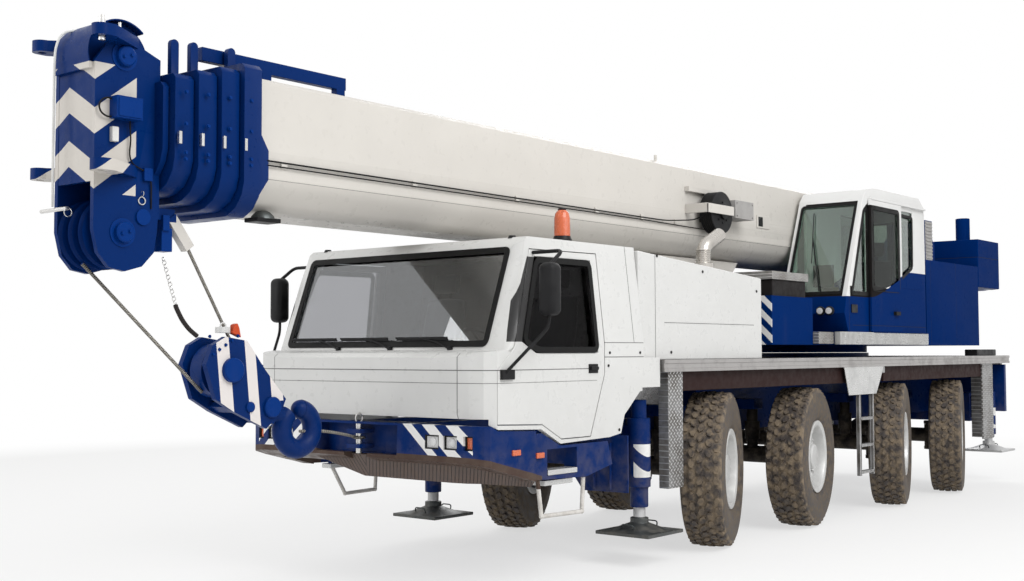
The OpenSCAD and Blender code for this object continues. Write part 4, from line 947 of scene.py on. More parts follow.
class CRANE_OT_wheels(bpy.types.Operator):
    """Eight block-tread tyres on dished rims"""

    bl_idname = "crane.wheels"
    bl_label = "Wheels"

    def execute(self, context):
        s = context.scene.crane_sizes
        for i in range(4):
            for side, sign in SIDES:
                place = Matrix.Translation(at(AXLES[i], sign * KING_PIN_Y, TYRE_R)) @ Matrix.Rotation(radians(STEER[i]),
                                                                                                      4, "Z")
                place = place @ Matrix.Translation((0, sign * HUB_REACH, 0))
                if sign < 0:
                    place = place @ Matrix.Rotation(pi, 4, "Z")
                name = f"{i + 1}_{side}"
                tyre = self.tyre(s)
                bmesh.ops.transform(tyre, matrix=place, verts=tyre.verts)
                piece(f"tyre_{name}", tyre, f"road_wheel_{name}", "tyre", "tread_rubber", "wall_rubber",
                      replaces=(f"wheel_{name}",), angle=30.0)
                rim = self.rim()
                bmesh.ops.transform(rim, matrix=place, verts=rim.verts)
                piece(f"rim_{name}", rim, f"road_wheel_{name}", "aluminium", "rim_grey", angle=30.0)
        return {"FINISHED"}

    def tyre(self, s):
        bm = bmesh.new()
        deep = TYRE_R - s.tread_depth
        half = [(0.3188, 0.140), (0.3300, 0.1497), (0.3585, 0.1515), (0.372, 0.160), (0.3935, 0.1744), (0.45, 0.1835),
                (0.5069, 0.1875), (0.52, 0.1895), (0.535, 0.1885), (0.596, 0.1856), (0.630, 0.180), (0.653, 0.1700),
                (deep - 0.004, 0.150), (deep, 0.100)]
        turned(bm, half + [(r, -h) for r, h in reversed(half)] + half[:1], (0, 0, 0), (0, 1, 0), 72)
        bmesh.ops.remove_doubles(bm, verts=bm.verts, dist=1e-5)
        bmesh.ops.recalc_face_normals(bm, faces=bm.faces)
        for face in bm.faces:
            if self.radius(face) < 0.64:
                face.material_index = 1
        n = s.tread_blocks
        step = 2 * pi / n
        rows = ((-0.138, 0.052, 0.0, 0.674, 0.0), (-0.072, 0.054, 0.5, 0.6825, 0.30), (0.0, 0.058, 0.0, 0.685, -0.45),
                (0.072, 0.054, 0.5, 0.6825, 0.30), (0.138, 0.052, 0.0, 0.674, 0.0))
        for y, width, shift, top, lean in rows:
            self.blocks(bm, n, step, y, width, shift, top, lean, s.tread_depth + 0.012)
        return bm

    def radius(self, face):
        middle = face.calc_center_median()
        return Vector((middle.x, middle.z)).length

    def blocks(self, bm, n, step, y, width, shift, top, lean, depth):
        """One row of six-sided blocks: one block is drawn, and turned copies make the row."""
        length = step * TYRE_R * 0.86
        made = bmesh.ops.create_circle(bm, cap_ends=True, segments=6, radius=0.5)["verts"]
        bmesh.ops.scale(bm, vec=(length, width * 1.12, 1.0), verts=made)
        face = made[0].link_faces[0]
        grown = bmesh.ops.extrude_face_region(bm, geom=[face])["geom"]
        crown = verts_in(grown)
        bmesh.ops.translate(bm, vec=(0, 0, depth), verts=crown)
        bmesh.ops.scale(bm, vec=(0.93, 0.92, 1.0), verts=crown)
        verts = made + crown
        for v in verts:
            v.co.x += lean * v.co.y
        bmesh.ops.translate(bm, vec=(0, y, top - depth), verts=verts)
        bmesh.ops.rotate(bm, matrix=Matrix.Rotation(step * shift, 3, "Y"), verts=verts)
        faces = list({f for v in verts for f in v.link_faces})
        bmesh.ops.recalc_face_normals(bm, faces=faces)
        bmesh.ops.spin(bm, geom=verts + faces, axis=(0, 1, 0), angle=2 * pi * (n - 1) / n, steps=n - 1,
                       use_duplicate=True)

    def rim(self):
        """Dished steel disc in a flanged rim, with vent pockets, hub and nuts."""
        bm = bmesh.new()
        face = [(0.318, 0.1495), (0.352, 0.1500), (0.3545, 0.156), (0.3545, 0.166), (0.350, 0.170), (0.322, 0.170),
                (0.304, 0.162), (0.296, 0.145), (0.293, 0.10), (0.287, 0.055), (0.272, 0.036), (0.225, 0.047),
                (0.205, 0.064), (0.19, 0.074), (0.185, 0.080), (0.135, 0.080), (0.128, 0.088), (0.122, 0.128),
                (0.112, 0.138), (0.05, 0.142), (0.0, 0.142)]
        back = [(0.0, -0.06), (0.15, -0.06), (0.16, -0.02), (0.255, -0.02), (0.281, -0.03), (0.286, -0.1),
                (0.30, -0.165),
                (0.350, -0.170), (0.3545, -0.166), (0.352, -0.150), (0.318, -0.1495), (0.318, 0.1495)]
        turned(bm, face + back, (0, 0, 0), (0, 1, 0), 48)
        bmesh.ops.remove_doubles(bm, verts=bm.verts, dist=1e-5)
        bmesh.ops.recalc_face_normals(bm, faces=bm.faces)
        dish = [f for f in bm.faces if f.calc_center_median().y > 0.03 and 0.24 < self.radius(f) < 0.262]
        dish.sort(key=lambda f: Vector((f.calc_center_median().x,
                                        f.calc_center_median().z)).angle_signed(Vector((1, 0))))
        for pair in zip(dish[0::4], dish[1::4]):
            bmesh.ops.inset_region(bm, faces=list(pair), thickness=0.007)
            bmesh.ops.translate(bm, vec=(0, -0.05, 0), verts=list({v for f in pair for v in f.verts}))
        for k in range(10):
            a = 2 * pi * k / 10
            foot = Vector((0.163 * cos(a), 0.078, 0.163 * sin(a)))
            rod(bm, foot, foot + Vector((0, 0.022, 0)), 0.017, 6)
            rod(bm, foot + Vector((0, 0.02, 0)), foot + Vector((0, 0.034, 0)), 0.009, 8)
        return bm


class CRANE_OT_driver_cab(bpy.types.Operator):
    """Driver's cab with its doors, glass, seals, wipers, seats and wheel"""

    bl_idname = "crane.driver_cab"
    bl_label = "Driver's cab"

    def execute(self, context):
        seal_w = context.scene.crane_sizes.seal
        softened("cab_shell", "cab_body", "carrier", "white_paint", "cab_paint", 0.01)
        dressed("cab_glass", "cab_pane")
        for side, sign in SIDES:
            body = f"{side}_door"
            softened(f"door_{side}", f"door_panel_{side}", body, "white_paint", "cab_paint", 0.006)
            dressed(f"door_glass_{side}", "door_pane")
            self.mirror(side, sign, body)
            self.door_trim(side, sign, body, seal_w)
        bm = bmesh.new()
        half = 1.075
        seal(bm, [(-half, 1.765), (half, 1.765), (half, 2.495), (-half, 2.495)], 0.046, 0.006, 0.05,
             lambda u, v, w: (screen_x(v) + 0.001 + w, u, v))
        fitted("windscreen_seal", bm, "carrier", "black_paint", "seal_rubber", angle=50.0)
        self.wipers()
        self.trim()
        self.inside()
        return {"FINISHED"}

    def mirror(self, side, sign, body):
        """Rounded mirror head on two arms."""
        bm = bmesh.new()
        head = block(bm, (2.726, 1.386, 1.981), (2.864, 1.524, 2.359))
        bmesh.ops.bevel(bm, geom=list({e for v in head for e in v.link_edges}), offset=0.05, offset_type="OFFSET",
                        affect="EDGES", segments=5, profile=0.5, material=-1)
        swept(bm, rounded([(2.795, 1.45, 2.0), (2.80, 1.445, 1.90), (3.05, 1.28, 1.60), (3.055, 1.262, 1.575)], 0.06),
              0.012, 10)
        swept(bm, rounded([(2.64, 1.178, 2.452), (2.64, 1.45, 2.452), (2.795, 1.45, 2.34)], 0.05), 0.014, 10)
        block(bm, (3.016, 1.251, 1.536), (3.094, 1.273, 1.604))
        flipped(bm, sign)
        fitted(f"wing_mirror_{side}", bm, body, "black_paint", "black_plastic", replaces=(f"mirror_{side}",),
               angle=45.0)

    def door_trim(self, side, sign, body, seal_w):
        """Window seal, handle and mirror foot of one door."""
        bm = bmesh.new()
        line = [(screen_x(1.8) - 0.165, 1.8), (screen_x(2.425) - 0.165, 2.425), (1.93, 2.43), (1.93, 1.72),
                (2.695, 1.72)]
        seal(bm, line, seal_w, 0.006, 0.06, lambda u, v, w: (u, sign * (door_y(v) + 0.001 + w), v))
        fitted(f"door_seal_{side}", bm, body, "black_paint", "seal_rubber", angle=50.0)
        bm = bmesh.new()
        block(bm, (1.94, 1.246, 1.565), (2.06, 1.256, 1.635))
        block(bm, (1.955, 1.256, 1.59), (2.05, 1.275, 1.615))
        block(bm, (2.96, 1.246, 1.535), (3.10, 1.272, 1.605))
        flipped(bm, sign)
        fitted(f"door_handle_{side}", bm, body, "black_paint", "black_plastic", bevel=0.006, segments=3)

    def wipers(self):
        bm = bmesh.new()
        for y in (-0.45, 0.12, 0.73):
            foot = Vector((screen_x(1.75) + 0.02, y, 1.752))
            elbow = Vector((screen_x(1.80) + 0.03, y - 0.12, 1.80))
            tip = Vector((screen_x(1.835) + 0.026, y - 0.30, 1.835))
            turned(bm, [(0.0, 0.0), (0.02, 0.0), (0.02, 0.02), (0.012, 0.026), (0.0, 0.026)],
                   foot - Vector((0.02, 0, 0)), (1, 0, 0), 12)
            swept(bm, rounded([foot, elbow, tip], 0.05), 0.007, 6)
            for rear, front, z in ((-0.012, -0.004, 1.815), (-0.006, 0.008, 1.827)):
                block(bm, (tip.x + rear, tip.y - 0.26, z), (tip.x + front, tip.y + 0.26, z + 0.014))
        fitted("wipers", bm, "carrier", "black_paint", "black_plastic", merge=True)

    def trim(self):
        """Roof lamps and hatch, rear quarter plates and panel bolts."""
        bm = bmesh.new()
        for y in (-1.0, 1.0):
            rod(bm, (2.66, y, 2.563), (2.66, y, 2.585), 0.035, 16, 0.025)
        for sign in (1, -1):
            turned(bm, [(0.0, 0.0), (0.05, 0.0), (0.05, 0.008), (0.035, 0.012), (0.0, 0.012)],
                   (1.6, sign * 1.152, 2.43), (0, sign, 0), 20)
        fitted("roof_edge_lamps", bm, "carrier", "black_paint", "black_plastic", merge=True)
        bm = bmesh.new()
        plate(bm, [(1.55, -0.45), (2.15, -0.45), (2.15, 0.25), (1.55, 0.25)], "z", 2.565, 2.592)
        block(bm, (1.62, -0.38, 2.59), (2.08, 0.18, 2.602))
        fitted("roof_hatch", bm, "carrier", "white_paint", "cab_paint", bevel=0.012, segments=3)

        line = [(1.80, 1.068), (1.633, 1.092), (1.52, 1.41), (1.33, 1.412), (1.33, 1.46), (1.45, 1.46), (1.80, 1.12)]
        plates("quarter_plates", "carrier", "white_paint", "cab_paint", "y", (line, 1.205, 1.2495), mirrored=True)
        bm = bmesh.new()
        for x, z in ((1.029, 2.517), (0.304, 2.419), (-0.653, 2.282), (0.821, 1.721)):
            rod(bm, (x, 1.196, z), (x, 1.206, z), 0.012, 10)
        for x, z in ((1.78, 1.72), (1.36, 1.72), (1.80, 1.62), (1.66, 1.12)):
            rod(bm, (x, 1.244, z), (x, 1.255, z), 0.011, 10)
        both_sides(bm)
        fitted("panel_bolts", bm, "carrier", "black_paint", "black_plastic")

    def inside(self):
        """Dash, steering wheel and two sprung seats."""
        bm = bmesh.new()
        plate(bm, [(2.70, 1.40), (2.99, 1.40), (2.99, 1.66), (2.90, 1.70), (2.76, 1.71), (2.70, 1.66)], "y", -1.05,
              1.05)
        for y in (-0.9, -0.45, 0.0, 0.45, 0.9):
            block(bm, (2.86, y - 0.09, 1.695), (2.92, y + 0.09, 1.715))
        block(bm, (2.72, 0.42, 1.70), (2.80, 0.78, 1.80))
        rod(bm, (2.72, 0.6, 1.56), (2.53, 0.6, 1.75), 0.03, 16)
        lean = Matrix.Rotation(radians(-45), 3, "Y")
        hub = Vector((2.52, 0.6, 1.76))
        ring(bm, hub, lean @ Vector((0, 0, 1)), 0.20, 0.017, 36)
        rod(bm, hub - lean @ Vector((0, 0, 0.02)), hub + lean @ Vector((0, 0, 0.02)), 0.055, 20)
        for a in (0.0, 2 * pi / 3, 4 * pi / 3):
            rod(bm, hub, hub + lean @ Vector((0.2 * cos(a), 0.2 * sin(a), 0.0)), 0.011, 8)
        fitted("dash_and_wheel", bm, "carrier", "interior", "dash_plastic", replaces=("cab_interior",), bevel=0.012,
               segments=3)
        for name, y in (("passenger", -0.6), ("driver", 0.6)):
            seat(f"{name}_seat", (1.90, y, 1.33), "carrier")


class CRANE_OT_bumper(bpy.types.Operator):
    """Striped bumper, ribbed apron and all lamps"""

    bl_idname = "crane.bumper"
    bl_label = "Bumper and lamps"

    def execute(self, context):
        softened("bumper", "front_bumper", "carrier", "blue_paint", "bumper_paint", 0.01)
        self.apron()
        self.head_lamps()
        self.beacon()
        self.tail_lamps()
        self.tow_pin()
        return {"FINISHED"}

    def apron(self):
        """Ribbed sheet that hangs below the bumper and draws in towards its lower edge."""
        bm = bmesh.new()
        rows = [((2.62, 1.18, 0.80), (2.60, 1.12, 0.745)), ((2.95, 1.17, 0.885), (2.93, 1.10, 0.785)),
                ((3.10, 1.13, 0.93), (3.06, 1.04, 0.80)), ((3.17, 1.05, 0.95), (3.11, 0.95, 0.80)),
                ((3.20, 0.92, 0.965), (3.13, 0.83, 0.80)), ((3.21, 0.0, 0.968), (3.14, -0.05, 0.80)),
                ((3.21, -0.62, 0.968), (3.205, -0.62, 0.955))]
        verts = [bm.verts.new(top) for top, _ in rows]
        edges = [bm.edges.new(pair) for pair in zip(verts, verts[1:])]
        grown = bmesh.ops.extrude_edge_only(bm, edges=edges)["geom"]
        for v in verts_in(grown):
            v.co = Vector(min(rows, key=lambda row: (Vector(row[0]) - v.co).length)[1])
        faces = faces_in(grown)
        bmesh.ops.recalc_face_normals(bm, faces=faces)
        bmesh.ops.solidify(bm, geom=faces, thickness=0.012)
        fitted("bumper_apron", bm, "carrier", "black_paint", "pan_brown", angle=50.0)
        boxes("side_step_treads", "carrier", "aluminium", "edge_aluminium",
              ((2.203, 1.13, 0.832), (2.557, 1.247, 0.87)),
              ((2.20, 1.09, 0.752), (2.54, 1.20, 0.79)), mirrored=True, bevel=0.004)

    def head_lamps(self):
        bm, glass, turn = bmesh.new(), bmesh.new(), bmesh.new()
        for i, (y0, y1) in enumerate(((0.705, 0.84), (0.88, 1.01), (1.065, 1.14))):
            front = 3.276 - 0.012 * i
            seal(bm, [(y0, 1.046), (y1, 1.046), (y1, 1.146), (y0, 1.146)], 0.010, 0.035, 0.012,
                 lambda u, v, w, front=front: (front - 0.03 + w, u, v))
            target = glass if i < 2 else turn
            block(target, (front - 0.05, y0 + 0.008, 1.054), (front - 0.006, y1 - 0.008, 1.138))
            if i < 2:
                turned(target, [(0.0, 0.0), (0.034, 0.0), (0.034, 0.004), (0.026, 0.008), (0.0, 0.011)],
                       (front - 0.006, (y0 + y1) / 2, 1.096), (1, 0, 0), 20)
        for x, z in ((2.93, 1.02), (2.66, 0.985)):
            block(turn, (x - 0.045, 1.245, z - 0.02), (x + 0.045, 1.262, z + 0.02))
        for part in (bm, glass, turn):
            both_sides(part)
        fitted("lamp_rims", bm, "carrier", "black_paint", "black_plastic", angle=50.0)
        fitted("head_lamps", glass, "carrier", "lamp", "clear_lens", replaces=("lamps",), bevel=0.004, merge=True)
        fitted("turn_lamps", turn, "carrier", "lamp", "amber_lens", bevel=0.005)

    def beacon(self):
        foot = (1.98, 0.945, 2.57)
        bm = bmesh.new()
        turned(bm, [(0.0, 0.0), (0.078, 0.0), (0.078, 0.03), (0.07, 0.045), (0.066, 0.06), (0.0, 0.06)], foot,
               (0, 0, 1), 32)
        turned(bm, [(0.0, 0.262), (0.03, 0.262), (0.034, 0.268), (0.03, 0.278), (0.0, 0.28)], foot, (0, 0, 1), 20)
        fitted("beacon_base", bm, "carrier", "black_paint", "black_plastic", merge=True)
        bm = bmesh.new()
        turned(bm, [(0.0, 0.058), (0.062, 0.058), (0.064, 0.07), (0.062, 0.2), (0.055, 0.238), (0.035, 0.262),
                    (0.0, 0.268)], foot, (0, 0, 1), 32)
        fitted("beacon_dome", bm, "carrier", "lamp", "amber_lens", merge=True)

    def tail_lamps(self):
        """Three lenses on a plate at each rear corner."""
        lenses = [((-7.412, y0, 1.25), (-7.38, y1, 1.35)) for y0, y1 in ((0.905, 0.99), (0.997, 1.082), (1.09, 1.175))]
        boxes("tail_lenses", "carrier", "lamp", "red_lens", *lenses, mirrored=True, bevel=0.008, segments=3)
        boxes("tail_lamp_plates", "carrier", "black_paint", "black_plastic",
              ((-7.40, 0.893, 1.238), (-7.385, 1.187, 1.362)),
              mirrored=True, bevel=0.004)

    def tow_pin(self):
        """Towing pin with its ring."""
        bm = bmesh.new()
        rod(bm, (3.25, 0, 0.98), (3.25, 0, 1.205), 0.0245, 20)
        ring(bm, (3.25, 0, 1.24), (0, 1, 0), 0.035, 0.007, 16)
        fitted("towing_pin", bm, "carrier", "steel", "bright_steel", merge=True)


class CRANE_OT_outriggers(bpy.types.Operator):
    """Outrigger beams, jacks and foot pads"""

    bl_idname = "crane.outriggers"
    bl_label = "Outriggers"

    def execute(self, context):
        for end in ("front", "rear"):
            for side, _ in SIDES:
                name = f"{end}_{side}"
                softened(f"beam_{name}", f"outrigger_beam_{name}", f"outrigger_{name}", "blue_paint", "jack_paint",
                         0.008)
                softened(f"leg_{name}", f"jack_foot_{name}", f"jack_{name}", "steel", "jack_leg", 0.006)
                self.sleeve(name)
                self.pad_handles(name)
        return {"FINISHED"}

    def sleeve(self, name):
        """Lower end of a jack's tube, round its rod."""
        low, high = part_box(f"leg_{name}")
        middle = ((low.x + high.x) / 2, (low.y + high.y) / 2, 0.0)
        foot = min(low.z + 0.215, 0.58)
        bm = bmesh.new()
        turned(bm, [(0.0525, foot), (0.072, foot), (0.0745, foot + 0.01), (0.0745, 0.63), (0.0525, 0.63),
                    (0.0525, foot)],
               middle, (0, 0, 1), 32)
        piece(f"jack_sleeve_{name}", bm, f"outrigger_{name}", "blue_paint", "blue_paint", merge=True)

    def pad_handles(self, name):
        """Carrying handles on a foot pad."""
        low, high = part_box(f"leg_{name}")
        bm = bmesh.new()
        x, y, z = (low.x + high.x) / 2, (low.y + high.y) / 2, low.z
        reach = (high.x - low.x) / 2 - 0.06
        for turn in (-1, 1):
            path = [(x + turn * (reach - 0.04), y - 0.06, z + 0.03), (x + turn * (reach - 0.02), y - 0.06, z + 0.085),
                    (x + turn * (reach - 0.02), y + 0.06, z + 0.085), (x + turn * (reach - 0.04), y + 0.06, z + 0.03)]
            swept(bm, rounded(path, 0.03), 0.006, 6)
        piece(f"pad_handles_{name}", bm, f"jack_{name}", "steel", "pad_steel", merge=True)


class CRANE_OT_upper(bpy.types.Operator):
    """Turntable, counterweight, winch and luffing cylinder"""

    bl_idname = "crane.upper"
    bl_label = "Upper structure"

    def execute(self, context):
        softened("turntable", "slewing_frame", "upper", "blue_paint", "upper_paint", 0.01)
        softened("counterweight", "ballast", "upper", "blue_paint", "ballast_paint", 0.014)
        softened("winch", "hoist_winch", "upper", "steel", "steel", 0.004)
        softened("ram_barrel", "luffing_barrel", "luff_barrel", "blue_paint", "blue_paint", 0.006)
        softened("ram_rod", "luffing_rod", "luff_rod", "steel", "rod_steel", 0.004)
        self.cooler()
        self.walkway()
        self.winding()
        return {"FINISHED"}

    def cooler(self):
        """Louvres of the oil cooler behind the crane cab."""
        louvres = [((-4.98, 1.19, 2.82 + 0.041 * i), (-4.795, 1.203, 2.834 + 0.041 * i)) for i in range(11)]
        boxes("cooler_louvres", "upper", "black_paint", "grey_plastic", ((-4.99, 1.188, 2.79), (-4.785, 1.192, 3.26)),
              *louvres)

    def walkway(self):
        """Ribbed step along the crane cab, a step ahead of it and the lidded bay in front."""
        ribs = [((-4.64 + 0.03 * i, 1.255, 1.80), (-4.624 + 0.03 * i, 1.262, 1.92)) for i in range(78)]
        boxes("cab_step", "upper", "aluminium", "edge_aluminium", ((-4.65, 1.195, 1.795), (-2.30, 1.255, 1.925)), *ribs)
        boxes("front_step", "upper", "aluminium", "step_grate", ((-2.267, 1.10, 1.80), (-1.93, 1.20, 1.92)),
              bevel=0.003)
        boxes("hose_bay", "upper", "black_paint", "black_paint", ((-1.85, 0.50, 2.255), (-1.15, 1.10, 2.42)),
              bevel=0.008)
        boxes("hose_bay_lid", "upper", "aluminium", "step_grate", ((-1.88, 0.48, 2.42), (-1.12, 1.12, 2.50)),
              bevel=0.004)

    def winding(self):
        """Turns of hoist rope on the drum."""
        low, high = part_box("winch")
        bm = bmesh.new()
        x, z = (low.x + high.x) / 2, low.z + 0.29
        for i in range(27):
            ring(bm, (x, -0.286 + 0.022 * i, z), (0, 1, 0), 0.191, 0.011, 40)
        piece("hoist_rope", bm, "upper", "steel", "wire_rope", merge=True)


class CRANE_OT_crane_cab(bpy.types.Operator):
    """Operator's cab with its sliding door"""

    bl_idname = "crane.crane_cab"
    bl_label = "Crane cab"

    def execute(self, context):
        softened("crane_cab", "operator_cab", "upper", "white_paint", "crane_cab_paint", 0.018, 3)
        dressed("crane_cab_glass", "crane_pane")
        softened("crane_cab_door", "operator_door", "crane_door", "white_paint", "crane_cab_paint", 0.006)
        dressed("crane_door_glass", "crane_side_pane")
        self.seals()
        self.panels()
        self.fittings()
        self.inside()
        return {"FINISHED"}

    def seals(self):
        """Black seals round the crane cab's panes."""
        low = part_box("crane_cab_glass")[0]
        bm = bmesh.new()

        def side(y, out=1):
            return lambda u, v, w: (u, y + out * w, v)

        front = [(-3.135, 2.315), (-2.655, 2.315), (-2.985, 3.245), (-3.135, 3.335)]
        rear = [(-3.945, 3.28), (-4.34, 3.27), (-4.33, 2.665), (-3.945, 2.50)]
        seal(bm, front, 0.045, 0.005, 0.04, side(1.2155))
        seal(bm, rear, 0.035, 0.0045, 0.05, side(1.2155))
        seal(bm, [(-4.58, 2.43), (-3.94, 2.43), (-3.94, 3.33), (-4.58, 3.33)], 0.035, 0.005, 0.05,
             side(low.y - 0.02, -1))
        seal(bm, [(low.y + 0.025, 2.325), (1.165, 2.325), (1.165, 3.325), (low.y + 0.025, 3.325)], 0.03, 0.006, 0.04,
             lambda u, v, w: (crane_screen_x(v) + 0.001 + w, u, v))
        seal(bm, [(low.y + 0.05, 2.48), (1.13, 2.48), (1.13, 3.27), (low.y + 0.05, 3.27)], 0.04, 0.005, 0.05,
             lambda u, v, w: (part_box("crane_cab")[0].x - FRONT_AXLE - 0.001 - w, u, v))
        fitted("crane_cab_seals", bm, "upper", "black_paint", "seal_rubber", angle=50.0)
        bm = bmesh.new()
        seal(bm, [(-3.87, 2.37), (-3.11, 2.37), (-3.11, 3.30), (-3.87, 3.30)], 0.05, 0.005, 0.06, side(1.2515))
        block(bm, (-3.80, 1.2515, 2.12), (-3.68, 1.285, 2.16))
        fitted("crane_door_seal", bm, "crane_door", "black_paint", "seal_rubber", angle=50.0)

    def panels(self):
        """Curved skirts that cover the foot and the rear of the side windows."""
        foot = [(-3.945, 2.43), (-4.58, 2.43), (-4.58, 2.74), (-4.33, 2.675), (-4.15, 2.60), (-3.945, 2.51)]
        rear = [(-4.58, 2.70), (-4.33, 2.66), (-4.33, 3.335), (-4.58, 3.335)]
        plates("cab_skirt", "upper", "white_paint", "crane_cab_paint", "y", (foot, 1.205, 1.2185), (rear, 1.205, 1.218),
               bevel=0.003)
        foot = [(-3.17, 2.375), (-3.86, 2.375), (-3.86, 2.52), (-3.65, 2.45), (-3.40, 2.40)]
        plates("door_skirt", "crane_door", "white_paint", "crane_cab_paint", "y", (foot, 1.25, 1.258), bevel=0.003)

    def fittings(self):
        """Two front lamps, the wiper and a side plate."""
        bm = bmesh.new()
        for y in (0.98, 1.08):
            turned(bm, [(0.0, 0.0), (0.045, 0.0), (0.05, 0.03), (0.042, 0.045), (0.0, 0.05)], (-2.455, y, 2.145),
                   (1, 0, 0), 20)
        block(bm, (-2.80, 1.214, 2.13), (-2.66, 1.226, 2.215))
        foot = Vector((crane_screen_x(2.36) + 0.012, 0.9, 2.36))
        tip = Vector((crane_screen_x(2.95) + 0.016, 0.72, 2.95))
        swept(bm, [foot, (foot + tip) / 2, tip], 0.008, 6)
        swept(bm, [tip + Vector((0.12, 0.04, -0.28)), tip, tip + Vector((-0.12, -0.04, 0.28))], 0.006, 6)
        fitted("crane_cab_fittings", bm, "upper", "black_paint", "black_plastic", merge=True)
        bm = bmesh.new()
        for y in (0.98, 1.08):
            turned(bm, [(0.0, 0.046), (0.034, 0.046), (0.032, 0.054), (0.0, 0.058)], (-2.455, y, 2.145), (1, 0, 0), 20)
        fitted("crane_cab_lamps", bm, "upper", "lamp", "clear_lens", merge=True)

    def inside(self):
        bm = bmesh.new()
        y = (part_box("crane_cab_interior")[0].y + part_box("crane_cab_interior")[1].y) / 2
        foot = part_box("crane_cab_interior")[0].z
        for turn in (-1, 1):
            block(bm, (-3.70, y + turn * 0.272 - 0.027, foot), (-3.35, y + turn * 0.272 + 0.027, foot + 0.55))
            rod(bm, (-3.42, y + turn * 0.272, foot + 0.54), (-3.40, y + turn * 0.272, foot + 0.72), 0.012, 10)
            ball(bm, (-3.40, y + turn * 0.272, foot + 0.735), 0.026)
        block(bm, (-3.02, y - 0.2, foot + 0.52), (-2.96, y + 0.02, foot + 0.76))
        rod(bm, (-2.99, y - 0.09, foot), (-2.99, y - 0.09, foot + 0.55), 0.02, 12)
        fitted("crane_controls", bm, "upper", "interior", "dash_plastic", replaces=("crane_cab_interior",), bevel=0.01)
        seat("operator_seat", (-3.80, y, foot), "upper")


